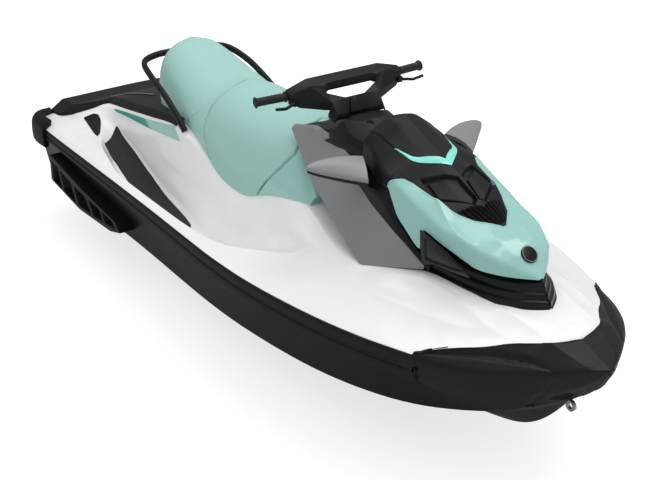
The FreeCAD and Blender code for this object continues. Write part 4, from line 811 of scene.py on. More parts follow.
# A fold along the nose, which starts where the deck's corner meets the bumper
fold_at, on_nose = (FOLD_START, FOLD_END, NOSE_TIP), bumper_x > FOLD_START
fold_y = np.where(on_nose, np.interp(bumper_x, fold_at, (114, 62, 30)), inner_y + 3)
fold_y = np.minimum(fold_y, inner_y + (edge - inner_y) * 0.7)
along = (fold_y - inner_y) / np.maximum(edge - inner_y, 1)
fold_z = inner_z + (crease_z - inner_z) * along
fold_z = np.where(on_nose, np.maximum(fold_z, np.interp(bumper_x, fold_at, (615, 563, 556))), fold_z)


def bumper_line(y, z):
    """One line along the bumper: its stations with a breadth, never below zero, and a height."""
    return np.stack([bumper_x, np.maximum(y, 0), z], axis=1)


bumper_rows = np.stack([
    bumper_line(inner_y, inner_z - 22), bumper_line(inner_y, inner_z), bumper_line(fold_y, fold_z),
    bumper_line(fold_y * 0.45 + edge * 0.55, fold_z * 0.42 + crease_z * 0.58 + 3),
    bumper_line(edge - 1, crease_z), bumper_line(edge - lean * 0.45, middle_z),
    bumper_line(edge - lean * 1.7, foot_z), bumper_line(edge - lean * 1.7 - 12, foot_z)], axis=1)
bumper_grid = rounded(bumper_rows, [2, 2, 20, 20, 9, 4], turn=5, run=10)
# The rear end stands out a little past the rubbing rail
FLARE, FLARE_START, FLARE_FADE = 4, 2900, 80
bumper_grid[..., 1] += FLARE * eased((FLARE_START - bumper_grid[..., 0]) / FLARE_FADE)
# A long hollow in the top face of each side
HOLLOW_DEPTH, HOLLOW_EDGE = 12, 26
hollow = ((2880, 388), (2925, 352), (2975, 310), (3050, 252), (3120, 204), (3180, 180), (3140, 214), (3040, 284),
          (2960, 338))
bumper_grid = pressed(bumper_grid, [hollow], HOLLOW_DEPTH, soft=HOLLOW_EDGE)
for side, word in SIDES:
    half_bumper = skin("bow_bumper_" + word, bumper_grid * [1, side, 1], moulded_black, wall=5, crease=36)
    fit(half_bumper, "craft", "trim_black", "bow_bumper")
print("bumper grid", bumper_grid.shape)

# %% [markdown]
# ## Stern corners and bolts
# A rubber moulding wraps each corner of the stern, where a boat touches a dock first. One section is
# carried round a curved path and shrinks towards both ends. A bolt head with a sunk middle, turned from
# a short profile, marks the joint between the rail and the bow bumper.

# %% Bolts and stern corners
BOLT_AT, BOLT_RADIUS = np.array([2862.0, 432.0, 471.0]), 8.0
around = np.arange(32) * 2 * np.pi / 32
corner_path = curve_through([(188, 586, 0), (140, 590, 0), (92, 590, 0), (50, 582, 0), (18, 562, 0), (2, 532, 0),
                             (-2, 500, 0), (-2, 470, 0)], 90)
corner_section = ((-14, 384), (4, 384), (12, 398), (14, 450), (10, 492), (-6, 514), (-36, 526), (-44, 512))
corner_path[:, 2] = 0
corner_taper = np.minimum(1, np.minimum(np.arange(90) / 3 + 0.8, np.arange(89, -1, -1) / 12 + 0.5))
side_way = np.cross(np.gradient(corner_path, axis=0), (0, 0, 1))
side_way /= np.linalg.norm(side_way, axis=1, keepdims=True)
side_way *= np.where((side_way * (corner_path - [400, 0, 0])).sum(1) < 0, -1, 1)[:, None]
CORNER_MIDDLE = 470
corner_rows = np.stack([corner_path + side_way * out * corner_taper[:, None]
                        + np.outer(CORNER_MIDDLE + (z - CORNER_MIDDLE) * corner_taper, (0, 0, 1))
                        for out, z in corner_section], axis=1)
corner_grid = rounded(corner_rows, [4, 6, 12, 14, 12, 6], turn=5, run=3)
for side, word in SIDES:
    rings = np.array([[BOLT_AT + BOLT_RADIUS * r * np.array([math.cos(a), 0, math.sin(a)]) + [0, h, 0] for a in around]
                      for r, h in ((1.25, -12), (1.25, 3), (1.0, 5), (0.8, 3), (0.75, -2), (0.1, -2))])
    fit(closed_form("bumper_bolt_" + word, rings * [1, side, 1], gloss_black, crease=30), "craft", "trim_black")
    fit(closed_form("stern_corner_" + word, corner_grid * [1, side, 1], bumper_rubber, crease=40), "craft",
        "bumper_rubber", "stern_bumper_" + word)

# %% [markdown]
# ## Sponsons
# A sponson is a part bolted low on each side of the stern, which steadies the boat in a turn. Rings of
# its outline shrink to a middle point and make the flat outer face. Pockets are pushed in wherever a
# point lies inside one of five convex outlines, and what stays between them are the ribs.

# %% Sponsons with pockets between ribs
sponson_outline = np.array(((0.080, 0.385), (0.078, 0.250), (0.175, 0.212), (0.275, 0.232), (0.305, 0.262),
                            (0.290, 0.300), (0.190, 0.330))) * [LENGTH, BODY_HEIGHT]
closed_outline = np.concatenate([sponson_outline, sponson_outline[:1]])
loop = np.concatenate([closed_outline[k] + (closed_outline[k + 1] - closed_outline[k])
                       * np.linspace(0.04, 0.96, 24)[:, None] for k in range(len(sponson_outline))])
hub = np.array([600.0, 285.0])
SPONSON_FACE, SPONSON_BACK, RIM_STEP, RIM_TURN, FACE_ROWS = 606.0, 506.0, 3, 12, 60
POCKET_DEPTH, POCKET_EDGE = 26.0, 5
rows = [[(x, SPONSON_FACE - (RIM_STEP if r == 1 else 0), z) for x, z in hub + (loop - hub) * r]
        for r in np.concatenate([np.linspace(0.01, 0.985, FACE_ROWS), [1.0]])]
rows += [[(x, y, z) for x, z in loop] for y in (SPONSON_FACE - RIM_TURN, SPONSON_BACK)]
sponson_grid = np.array(rows)
pockets = (((296, 256), (296, 352), (352, 342), (392, 246)), ((424, 240), (384, 334), (500, 318), (545, 232)),
           ((578, 232), (534, 312), (660, 304), (710, 238)), ((742, 242), (696, 302), (800, 298), (838, 252)),
           ((866, 254), (832, 296), (930, 290), (960, 264)))
depth = np.where(np.arange(len(sponson_grid)) < FACE_ROWS, POCKET_DEPTH, 0.0)[:, None]
u, v = sponson_grid[..., 0], sponson_grid[..., 2]
sunk = np.max([eased(inside(pocket, u, v) / POCKET_EDGE + 0.5) for pocket in pockets], axis=0) * depth
sponson_grid = sponson_grid - np.stack([0 * sunk, sunk, 0 * sunk], axis=2)
for side, word in SIDES:
    fit(closed_form("sponson_shell_" + word, sponson_grid * [1, side, 1], moulded_black, crease=30), "craft",
        "trim_black", "sponson_" + word)
print("sponson grid", sponson_grid.shape)

# %% [markdown]
# ## Rear deck
# The dark moulding over the stern is where a rider climbs aboard. It narrows to run up beside the seat,
# and a thin bright strip lies along each side, placed on the height of the moulding below it.

# %% Rear deck
rear_deck_table = (
    (0.0015, 0.760, 0.500, 0.650, 0.545, 0.552),
    (0.020, 0.755, 0.505, 0.645, 0.547, 0.554),
    (0.033, 0.745, 0.512, 0.640, 0.549, 0.556),
    (0.050, 0.645, 0.534, 0.570, 0.562, 0.566),
    (0.068, 0.535, 0.561, 0.480, 0.583, 0.586),
    (0.084, 0.440, 0.586, 0.395, 0.604, 0.606),
    (0.150, 0.436, 0.622, 0.395, 0.640, 0.650),
    (0.220, 0.432, 0.654, 0.395, 0.676, 0.686),
    (0.285, 0.428, 0.684, 0.395, 0.700, 0.705))
rear_x = stations_between(0.0015, 0.285, 90)
rear_points = section_points(rear_deck_table, rear_x)
rear_foot = rear_points[:, :1] - [0, 0, 24]
rear_half = rounded(np.concatenate([rear_foot, rear_points], axis=1), [5, 6], turn=6, run=6)
rear = skin("rear_platform", whole(rear_half), moulded_black, wall=5)
fit(rear, "craft", "trim_black", "rear_deck")


def on_rear_deck(x, y):
    """Height of the rear deck at a station and a breadth."""
    row = int(round(float(np.interp(x, rear_x, np.arange(len(rear_x))))))
    return float(np.interp(abs(y), rear_half[row, ::-1, 1], rear_half[row, ::-1, 2]))


strip_line = np.array([(163, 216), (300, 166), (444, 113)], float)
strip_plan = curve_through(np.concatenate([strip_line, np.zeros((3, 1))], axis=1), 40)[:, :2]
STRIP_LIFT = 2.5
strip_path = np.array([(x, y, on_rear_deck(x, y) + STRIP_LIFT) for x, y in strip_plan])
for side, word in SIDES:
    strip = closed_form("platform_strip_" + word, swept(strip_path * [1, side, 1], oval(5, 3.0, 12, 3)),
                        cast_aluminium, 50)
    fit(strip, "craft", "metal_steel")
print("rear deck grid", whole(rear_half).shape)

# %% [markdown]
# ## Seat
# The straddle seat is moulded foam under stretched vinyl, in two cushions that meet at a slanted seam,
# with the painted console in front. All three are cut from one smooth form. Each cushion's edge rolls
# inwards before the seam, as vinyl does where it is pulled over the base.

# %% Seat form and cushions
seat_table = (
    (0.1690, 0.150, 0.655, 0.160, 0.740, 0.150, 0.840, 0.085, 0.895, 0.905),
    (0.1790, 0.245, 0.655, 0.255, 0.745, 0.230, 0.855, 0.135, 0.920, 0.940),
    (0.1950, 0.285, 0.655, 0.298, 0.750, 0.270, 0.862, 0.165, 0.932, 0.958),
    (0.2170, 0.308, 0.655, 0.320, 0.755, 0.290, 0.855, 0.176, 0.918, 0.948),
    (0.2500, 0.335, 0.655, 0.342, 0.755, 0.300, 0.835, 0.176, 0.890, 0.920),
    (0.2840, 0.352, 0.655, 0.362, 0.745, 0.308, 0.815, 0.176, 0.866, 0.896),
    (0.3150, 0.372, 0.630, 0.380, 0.730, 0.310, 0.800, 0.176, 0.848, 0.880),
    (0.3350, 0.385, 0.600, 0.392, 0.715, 0.312, 0.800, 0.178, 0.860, 0.892),
    (0.3570, 0.396, 0.565, 0.404, 0.700, 0.318, 0.805, 0.180, 0.868, 0.901),
    (0.3850, 0.408, 0.530, 0.418, 0.680, 0.322, 0.800, 0.180, 0.862, 0.896),
    (0.4250, 0.418, 0.510, 0.430, 0.650, 0.325, 0.795, 0.180, 0.858, 0.890),
    (0.4600, 0.420, 0.520, 0.432, 0.650, 0.322, 0.800, 0.178, 0.864, 0.892),
    (0.4900, 0.415, 0.555, 0.428, 0.665, 0.312, 0.810, 0.175, 0.872, 0.896),
    (0.5120, 0.405, 0.585, 0.418, 0.680, 0.300, 0.815, 0.170, 0.874, 0.896),
    (0.5400, 0.415, 0.600, 0.420, 0.690, 0.310, 0.800, 0.190, 0.850, 0.870),
    (0.5700, 0.420, 0.625, 0.420, 0.700, 0.320, 0.755, 0.200, 0.790, 0.810),
    (0.6000, 0.415, 0.645, 0.410, 0.700, 0.330, 0.720, 0.200, 0.730, 0.740))
split_line = ((1.10, 0.3380), (0.80, 0.3380), (0.735, 0.3440), (0.585, 0.3680), (0.40, 0.3760))
end_line = ((1.10, 0.5120), (0.90, 0.5120), (0.832, 0.5330), (0.806, 0.5365), (0.745, 0.5250), (0.60, 0.4900),
            (0.40, 0.4600))
seat_x = np.concatenate([LENGTH * (0.169 + 0.02 * np.linspace(0, 1, 14) ** 2), stations_between(0.1905, 0.600, 220)])
seat_form = whole(rounded(section_points(seat_table, seat_x), [30, 60, 55], turn=12, run=8))


def ahead_of(grid, line):
    """How far each point lies ahead of a line drawn in side view as heights and stations."""
    z, x = np.array(line)[::-1].T
    return grid[..., 0] - np.interp(grid[..., 2], z * BODY_HEIGHT, x * LENGTH)


def rolled(grid, radius, start=True):
    """Rows near the last end, and near the first where start is set, curl inwards on a quarter circle."""
    run = np.linalg.norm(np.diff(grid, axis=0), axis=2)
    travel = np.concatenate([np.zeros((1, grid.shape[1])), np.cumsum(run, axis=0)])
    gap = np.minimum(radius, travel[-1:] - travel)
    if start:
        gap = np.minimum(gap, travel)
    dip = radius - np.sqrt(np.maximum(radius ** 2 - (radius - gap) ** 2, 0))
    return grid - facing_normals(grid) * dip[..., None]


REAR_ROLL, FRONT_ROLL = 9.0, 13.0
split_row = crossing(ahead_of(seat_form, split_line))
end_row = crossing(ahead_of(seat_form, end_line))
rear_cushion = rolled(between(seat_form, 0, split_row - 0.3, 130), REAR_ROLL, start=False)
front_cushion = rolled(between(seat_form, split_row + 0.3, end_row - 1.4, 150), FRONT_ROLL)
console_grid = between(seat_form, end_row + 0.5, len(seat_form) - 1.001, 40)
seam_line = ((1.10, 0.3420), (0.87, 0.3330), (0.82, 0.3275), (0.77, 0.3225), (0.70, 0.2980), (0.60, 0.2700),
             (0.40, 0.2600))
SEAM_DEPTH, SEAM_HALF = 3.0, 4.5
stitch = SEAM_DEPTH * np.exp(-(ahead_of(rear_cushion, seam_line) / SEAM_HALF) ** 2)
rear_cushion = rear_cushion - facing_normals(rear_cushion) * stitch[..., None]
for name, grid, material, slot, node_name in (
        ("seat_cushion_rear", rear_cushion, marine_vinyl, "seat_vinyl", "seat_rear"),
        ("seat_cushion_front", front_cushion, marine_vinyl, "seat_vinyl", "seat_front"),
        ("console_cover", console_grid, painted_mint, "panel_mint", "console")):
    cushion = closed_form(name, grid, material, crease=50)
    fit(cushion, "craft", slot, node_name)
print("seat form", seat_form.shape)

# %% [markdown]
# ## Grey side panels
# Two satin panels close the cowl between the seat and the hood. Each is a thin moulding with a bent
# section, high behind the mirror and running to a point low at the bow end.

# %% Side panels
panel_table = (
    (0.5120, 0.235, 0.880, 0.225, 0.890, 0.205, 0.897),
    (0.5506, 0.307, 0.842, 0.202, 0.921, 0.172, 0.926),
    (0.5920, 0.376, 0.792, 0.288, 0.866, 0.205, 0.928),
    (0.6088, 0.403, 0.771, 0.326, 0.835, 0.222, 0.924),
    (0.6456, 0.443, 0.732, 0.411, 0.767, 0.274, 0.908),
    (0.6664, 0.462, 0.706, 0.448, 0.722, 0.307, 0.890),
    (0.6940, 0.485, 0.662, 0.478, 0.672, 0.344, 0.850),
    (0.7239, 0.510, 0.628, 0.506, 0.636, 0.362, 0.800),
    (0.7550, 0.417, 0.648, 0.410, 0.660, 0.357, 0.755),
    (0.7873, 0.320, 0.668, 0.320, 0.674, 0.320, 0.682))
panel_x = stations_between(0.512, 0.7873, 160)
panel_rows = section_points(panel_table, panel_x, centre=False, read=straight_table)
panel_rows[..., 1:] = faired(panel_rows[..., 1:], 3)
panel_grid = rounded(panel_rows, [9], turn=8, run=14)
for side, word in SIDES:
    panel = skin("side_cover_" + word, panel_grid * [1, side, 1], satin_grey, wall=9, facing=(0, side, 0.4))
    fit(panel, "craft", "panel_grey", "side_panel_" + word)
print("side panel grid", panel_grid.shape)

# %% [markdown]
# ## Front bezel and hood
# The hood, its dark centre and the cowl round the display are one rising form, so all three come from
# one grid. Relief is then pressed into it: a raised plate ahead of the display, a V-shaped recess with
# a plate in each arm, and a row of ribs. The painted panel goes on under the dark centre a step lower,
# so the centre lies in a recess as the real one does.

# %% Stepped bezel under the hood
bezel_table = (
    (0.7750, 0.345), (0.7900, 0.332), (0.8400, 0.290), (0.8750, 0.230), (0.8990, 0.135), (0.9090, 0.070),
    (0.9175, 0.006))
# How far in each step lies, as a share, and its height
bezel_steps = ((0.00, 598), (0.00, 640), (0.07, 648), (0.09, 664), (0.17, 670), (0.19, 686), (0.27, 692),
               (0.30, 714), (0.40, 722))
bezel_x = np.concatenate([stations_between(0.775, 0.89, 60), stations_between(0.8905, 0.9175, 40)])
bezel_y = smooth_table(bezel_table, bezel_x)[:, 0] * HALF_BEAM
BEZEL_ROOT, BEZEL_TAPER = 2650.0, 0.40
bezel_rows = np.stack([np.stack([BEZEL_ROOT + (bezel_x - BEZEL_ROOT) * (1 - BEZEL_TAPER * share),
                                 bezel_y * (1 - share), 0 * bezel_x + height], axis=1)
                       for share, height in bezel_steps], axis=1)
bezel_half = rounded(bezel_rows, [6, 3, 4, 3, 4, 3, 4], turn=4, run=3)
for side, word in SIDES:
    bezel = skin("bezel_" + word, bezel_half * [1, side, 1], gloss_black, 5, (0.3, side, 0.4))
    fit(bezel, "craft", "trim_black", "front_bezel")
print("bezel grid", bezel_half.shape)

# %% Hood grid
# Outer edge, ridge, edge of the dark centre and a point near the centre line, then the centre height
hood_table = (
    (0.6560, 0.240, 0.925, 0.232, 0.985, 0.205, 1.010, 0.075, 1.052, 1.056),
    (0.6720, 0.262, 0.915, 0.250, 0.985, 0.195, 1.012, 0.075, 1.066, 1.071),
    (0.6880, 0.290, 0.905, 0.272, 0.965, 0.185, 1.004, 0.080, 1.045, 1.052),
    (0.7010, 0.312, 0.900, 0.290, 0.950, 0.179, 0.997, 0.085, 1.028, 1.036),
    (0.7170, 0.330, 0.902, 0.314, 0.938, 0.172, 0.984, 0.080, 1.008, 1.016),
    (0.7248, 0.330, 0.903, 0.316, 0.934, 0.168, 0.978, 0.070, 1.000, 1.006),
    (0.7324, 0.334, 0.872, 0.314, 0.927, 0.170, 0.966, 0.060, 0.994, 0.998),
    (0.7450, 0.336, 0.815, 0.312, 0.910, 0.184, 0.941, 0.050, 0.980, 0.982),
    (0.7535, 0.335, 0.795, 0.310, 0.900, 0.195, 0.930, 0.060, 0.968, 0.973),
    (0.7616, 0.334, 0.777, 0.308, 0.890, 0.205, 0.920, 0.080, 0.955, 0.962),
    (0.7795, 0.322, 0.737, 0.303, 0.871, 0.215, 0.900, 0.090, 0.925, 0.930),
    (0.7830, 0.320, 0.815, 0.301, 0.868, 0.212, 0.896, 0.090, 0.920, 0.925),
    (0.8060, 0.303, 0.795, 0.288, 0.845, 0.180, 0.864, 0.080, 0.884, 0.888),
    (0.8375, 0.272, 0.764, 0.258, 0.824, 0.115, 0.846, 0.050, 0.853, 0.854),
    (0.8405, 0.268, 0.760, 0.255, 0.822, 0.110, 0.845, 0.050, 0.850, 0.851),
    (0.8580, 0.227, 0.745, 0.222, 0.806, 0.100, 0.832, 0.045, 0.835, 0.836),
    (0.8734, 0.176, 0.742, 0.170, 0.788, 0.085, 0.804, 0.040, 0.808, 0.810),
    (0.8864, 0.100, 0.736, 0.096, 0.760, 0.050, 0.768, 0.025, 0.769, 0.770),
    (0.8985, 0.012, 0.731, 0.010, 0.734, 0.005, 0.735, 0.0025, 0.736, 0.736))
COWL_BACK, HOOD_JOINT, PAINT_START, GRILLE_TIP, HOOD_FRONT, SEAM = 2177, 2379.0, 2397.0, 2789.0, 2981, 7.0
hood_x = np.concatenate([np.linspace(COWL_BACK, HOOD_JOINT, 60), np.linspace(HOOD_JOINT + 3, GRILLE_TIP, 112),
                         np.linspace(GRILLE_TIP + 6, HOOD_FRONT, 46)])
hood_half = rounded(section_points(hood_table, hood_x), [16, 12, 14], turn=9, run=9)
hood_half = folded(hood_half, ((2560, 126), (2640, 146), (2730, 162), (2820, 160)), 6, inner=26, outer=10, fade=30)

# The edge between paint and dark centre, as breadths by station
centre_edge = ((0.7170, 0.330), (0.7235, 0.324), (0.7280, 0.306), (0.7350, 0.262), (0.7450, 0.236), (0.7750, 0.212),
               (0.7970, 0.180), (0.8195, 0.118), (0.8405, 0.010), (0.9000, 0.0))
border = np.interp(hood_x / LENGTH, *np.array(centre_edge).T) * HALF_BEAM
border = np.maximum(border, np.minimum(SEAM, hood_half[:, 0, 1] / 2))
border_column = crossing((border[:, None] - hood_half[..., 1]).T)
border_column = np.where(hood_x < PAINT_START, 0, border_column)

# %% Painted panel
RECESS, UNDER_COLUMNS = 30.0, 20
paint_rows = hood_x > PAINT_START
painted = across(hood_half, 0, border_column, 56)[paint_rows]
under = across(hood_half, border_column, hood_half.shape[1] - 1.001, UNDER_COLUMNS)[paint_rows]
drop = np.where(hood_x[paint_rows, None] < GRILLE_TIP, RECESS, 0) * (np.arange(UNDER_COLUMNS) > 0)
under = under - np.stack([0 * drop, 0 * drop, drop], axis=2)
hood = skin("hood_cover", whole(np.concatenate([painted, under[:, 1:]], axis=1)), painted_mint, 6, crease=30)
fit(hood, "hood", "panel_mint", "hood_panel")

# %% Dark centre and display cowl with their relief
dark_rows = hood_x <= GRILLE_TIP
dark_half = across(hood_half, border_column, hood_half.shape[1] - 1.001, 118)[dark_rows]
plate_ahead = ((2100, -10), (2100, 116), (2326, 110), (2402, 84), (2465, 0), (2470, -10))
recess = ((2476, 117), (2551, 9), (2646, 3), (2661, 26), (2585, 137))
recess_plate = ((2501, 104), (2558, 24), (2636, 12), (2650, 26), (2580, 116))
ribs = ((2592, 134), (2668, 22), (2672, -10), (2776, -10), (2764, 26), (2716, 68), (2650, 102))
PLATE_RISE, RECESS_DEPTH, RECESS_PLATE_RISE, RIB_DEPTH, RIB_PITCH = 4, 15, 9, 12, 17.0
dark_half = pressed(dark_half, [plate_ahead], -PLATE_RISE, soft=4)
dark_half = pressed(dark_half, [recess], RECESS_DEPTH, soft=5)
dark_half = pressed(dark_half, [recess_plate], -RECESS_PLATE_RISE, soft=5)
wave = (0.5 - 0.5 * np.cos(2 * np.pi * (abs(dark_half[..., 1]) + 0.12 * dark_half[..., 0]) / RIB_PITCH)) ** 0.8
dark_half = pressed(dark_half, [ribs], RIB_DEPTH * wave, soft=6)
dark_x, CENTRE_DROP = hood_x[dark_rows], [0, 0, 2]
centre = skin("hood_centre", whole(dark_half[dark_x > HOOD_JOINT]) - CENTRE_DROP, moulded_black, 6, crease=40)
fit(centre, "hood", "trim_black", "hood_grille")
cowl = closed_form("instrument_cowl", whole(dark_half[dark_x <= HOOD_JOINT + 3]) - CENTRE_DROP, moulded_black,
                   crease=40)
fit(cowl, "hood", "trim_black", "instrument_hood")

# %% [markdown]
# ## Stripe and disc on the hood
# The stripe reads its heights from the cowl below it, so it can't sink in or float, and a small crown
# gives it a raised middle. The disc is a turned plate with a bright rim, set at the slope of the nose.

# %% V stripe and plain disc
# Inner and outer edge of one arm of the V, from its thin end to the tip on the centre line
stripe_line = ((2318, 113, 2319, 114), (2362, 100, 2364, 107), (2402, 84, 2412, 98), (2434, 42, 2458, 52),
               (2466, 0, 2502, 0))
arm = curve_through([row + (0,) * 2 for row in stripe_line], 40)[:, :4]
arm[-1, [1, 3]] = 0
flat = dark_half.reshape(-1, 3)


def resting_on(points, surface, lift):
    """Heights of plan points on a cloud of surface points, as a weighted mean of the nearest six."""
    out = []
    for x, y in points:
        gap = np.hypot(surface[:, 0] - x, surface[:, 1] - abs(y))
        near = np.argpartition(gap, 6)[:6]
        weight = 1 / (gap[near] + 0.5) ** 2
        out.append((x, y, (surface[near, 2] * weight).sum() / weight.sum() + lift))
    return np.array(out)


STRIPE_LIFT, STRIPE_CROWN = 0.6, 2.0
share = np.linspace(0, 1, 7)[None, :, None]
stripe_half = arm[:, None, :2] * (1 - share) + arm[:, None, 2:] * share
crown = STRIPE_CROWN * np.sin(np.pi * share[0, :, 0]) * np.linspace(0.1, 1, 40)[:, None]
stripe_half = resting_on(stripe_half.reshape(-1, 2), flat, STRIPE_LIFT).reshape(40, 7, 3)
stripe_half[..., 2] += crown
stripe = np.concatenate([stripe_half, mirrored(stripe_half[-2::-1])])
fit(skin("nose_stripe", stripe, film_aqua, 2.5, crease=60), "hood", "panel_mint")

BADGE_AT, BADGE_AXIS, BADGE_RADIUS = np.array([2916.0, 0.0, 798.0]), np.array([0.66, 0.0, 0.75]), 31.0
around = np.arange(64) * 2 * np.pi / 64
badge_side, badge_up = np.array([0.0, 1.0, 0.0]), np.cross([0.0, 1.0, 0.0], BADGE_AXIS)
for name, material, rings in (
        ("badge_disc", gloss_black, ((1.0, -8), (1.0, 1.0), (0.96, 2.2), (0.84, 2.2), (0.80, 1.2), (0.4, 2.0),
                                     (0.05, 2.4))),
        ("badge_rim", brushed_steel, ((0.93, 0.0), (0.93, 3.0), (0.87, 3.0), (0.87, 0.0)))):
    rows = np.array([[BADGE_AT + BADGE_RADIUS * r * (math.cos(a) * badge_side + math.sin(a) * badge_up)
                      + BADGE_AXIS * h for a in around] for r, h in rings])
    badge = closed_form(name, rows, material, crease=30)
    fit(badge, "hood", "trim_black" if material is gloss_black else "metal_steel")
print("hood grid", hood_half.shape, "dark centre", dark_half.shape)

# %% [markdown]
# ## Intakes and band
# Below the painted panel, a dark wall with a shallow pocket closes each side, and a glossy band runs down
# behind the panel's edge. Both stay on the craft when the hood opens, so they are pieces of their own
# and not part of the hood's grid.

# %% Side intakes and the dark band behind the painted panel
intake_top = curve_through([(2600, 213, 818), (2645, 213, 810), (2730, 200, 780), (2806, 186, 752)], 50)
intake_low = curve_through([(2618, 209, 690), (2671, 205, 712), (2750, 196, 718), (2828, 180, 722)], 50)
share = np.linspace(0, 1, 26)[None, :, None]
intake = intake_low[:, None] * (1 - share) + intake_top[:, None] * share
intake[..., 1] += 5 * np.sin(np.pi * share[..., 0])
intake = pressed(intake, [((2630, 716), (2628, 796), (2650, 798), (2790, 745), (2806, 728), (2680, 722))], 7, soft=5,
                 axes=(0, 2), facing=(0, 1, 0))
# Band rows: station, upper edge, middle and lower edge as breadth and height
band_table = (
    (0.6600, 0.268, 0.915, 0.310, 0.905, 0.338, 0.872),
    (0.6850, 0.300, 0.905, 0.335, 0.885, 0.352, 0.848),
    (0.7050, 0.318, 0.898, 0.348, 0.868, 0.364, 0.820),
    (0.7248, 0.322, 0.893, 0.352, 0.848, 0.367, 0.795),
    (0.7324, 0.326, 0.866, 0.352, 0.830, 0.367, 0.785),
    (0.7450, 0.328, 0.806, 0.350, 0.800, 0.364, 0.766),
    (0.7616, 0.326, 0.766, 0.344, 0.764, 0.356, 0.742),
    (0.7795, 0.314, 0.724, 0.332, 0.728, 0.344, 0.710),
    (0.7980, 0.304, 0.700, 0.318, 0.700, 0.330, 0.676))
band_x = stations_between(0.660, 0.798, 70)
band_half = rounded(section_points(band_table, band_x, centre=False), [14], turn=8, run=6)
for side, word in SIDES:
    fit(skin("side_intake_" + word, intake * [1, side, 1], gloss_black, 5, (0, side, 0.2), 30), "craft", "trim_black")
    fit(skin("cowl_band_" + word, band_half * [1, side, 1], gloss_black, 5, (0, side, 0.6), 30), "craft", "trim_black")
print("band grid", band_half.shape)

# %% [markdown]
# ## Mirrors
# Each mirror is a grey housing with a dark lower shell. Its section is a ring of five corners that
# shrinks in a gentle curve from the wide inner end to a point at the tip. The pane is a thin sheet
# stretched between the two rear corners of the same rings, a little behind them.

# %% Mirrors
# Corners at the inner end as station and height, from the top rear corner forward and round
mirror_corners = np.array([(2228, 963), (2296, 950), (2348, 906), (2300, 880), (2236, 886)], float)
MIRROR_CENTRE, MIRROR_TIP = np.array([2286.0, 917.0]), np.array([2191.0, 944.0])
MIRROR_ROOT, MIRROR_END, FOOT_SHORTER, PANE_BEHIND = 188.0, 408.0, 6, 1.5
# The inner end is cut slanted: by how much, over which depth, from the rear edge on
SLANT, SLANT_DEPTH, MIRROR_REAR = 58, 120, 2228


def closed_ring(rows, radii, turn=5, run=3):
    """Rounded closed sections: each ring starts in the middle of one side, so every corner is inner."""
    start = (rows[:, :1] + rows[:, -1:]) / 2
    return rounded(np.concatenate([start, rows, start], axis=1), radii, turn, run)[:, :-1]


reach = np.linspace(0, 1, 46) ** 0.9
size = np.clip((1 - reach ** 2.2) ** 0.62, 0.04, 1)[:, None, None]
middle = MIRROR_CENTRE + (MIRROR_TIP - MIRROR_CENTRE) * reach[:, None]
for name, slot, material, grow, drop, nodes in (
        ("mirror_shell", "panel_grey", satin_grey, 1.0, 0.0, "mirror_cap"),
        ("mirror_base", "trim_black", moulded_black, 0.93, 13.0, "mirror_foot")):
    ring = middle[:, None] + (mirror_corners - MIRROR_CENTRE) * size * grow - [0, drop]
    breadth = MIRROR_ROOT + (MIRROR_END - MIRROR_ROOT - (FOOT_SHORTER if drop else 0)) * reach[:, None]
    slant = SLANT * (ring[..., 0] - MIRROR_REAR) / SLANT_DEPTH * (1 - reach[:, None])
    rows = np.stack([ring[..., 0], breadth + slant, ring[..., 1]], axis=2)
    shell = closed_ring(rows, [20, 30, 22, 18, 8], turn=7, run=4)
    for side, word in SIDES:
        cap = closed_form(name + "_" + word, shell * [1, side, 1], material, crease=40)
        fit(cap, "hood", slot, nodes + "_" + word)
    if not drop:
        paned = (reach > 0.06) & (reach < 0.72)
        glass_reach, here, shrink = reach[paned], middle[paned], size[paned, 0]
        high, low_corner = (here + (corner - MIRROR_CENTRE) * shrink
                            for corner in (mirror_corners[0], mirror_corners[4]))
        rise = np.linspace(0.18, 0.82, 8)[None, :, None]
        glass = low_corner[:, None] * (1 - rise) + high[:, None] * rise
        breadth = MIRROR_ROOT + (MIRROR_END - MIRROR_ROOT) * glass_reach[:, None] + 0 * glass[..., 0]
        glass = np.stack([glass[..., 0] - PANE_BEHIND, breadth, glass[..., 1]], axis=2)
        for side, word in SIDES:
            pane = skin("mirror_pane_" + word, glass * [1, side, 1], mirror_glass, 3, (-1, 0, 0), 50)
            fit(pane, "hood", "mirror_silver", "mirror_glass_" + word)
print("mirror ring", shell.shape)

# %% [markdown]
# ## Handlebar
# The bars are one cover with flat faces: a padded rail behind, a pod at each end, and two broad arms
# that slope down to a neck. A lower cover and a small visor stand fixed on the tower in front of it.
# Each is a short list of corners on one side, and a face is a word made of their letters.

# %% Handlebar
bar_corners = {
    "A": (1830, 0, 1130, 34), "B": (1830, 168, 1130, 34), "C": (1838, 264, 1106, 30), "D": (1884, 0, 1117, 34),
    "E": (1884, 99, 1117, 34), "F": (1889, 122, 1108, 36), "K": (1893, 112, 1080, 30), "G": (1879, 175, 1117, 40),
    "P": (1866, 262, 1088, 30), "H": (1882, 228, 1062, 24), "I": (1925, 112, 1052, 36), "J": (1918, 45, 1058, 30),
    "Z": (1920, 0, 1059, 30), "N": (1960, 108, 1012, 24), "M": (1945, 45, 1001, 24), "Y": (1946, 0, 1000, 24),
    "O": (1956, 122, 985, 10), "Q": (1915, 122, 1003, 14)}
bar_faces = ("ADEB", "BEFG", "BGPC", "FKIG", "GIHP", "KJI", "ZYMJ", "JMNI", "INOQ")
fit(faceted("bar_cover", bar_corners, bar_faces, moulded_black), "bars", "trim_black", "handlebar")
plate_corners = {"A": (1924, 0, 1056, 12), "B": (1924, 24, 1055, 12), "C": (1951, 40, 1008, 12),
                 "D": (1952, 0, 1008, 12)}
fit(faceted("bar_plate", plate_corners, ("ADCB",), gloss_black, 2.0), "bars", "trim_black")

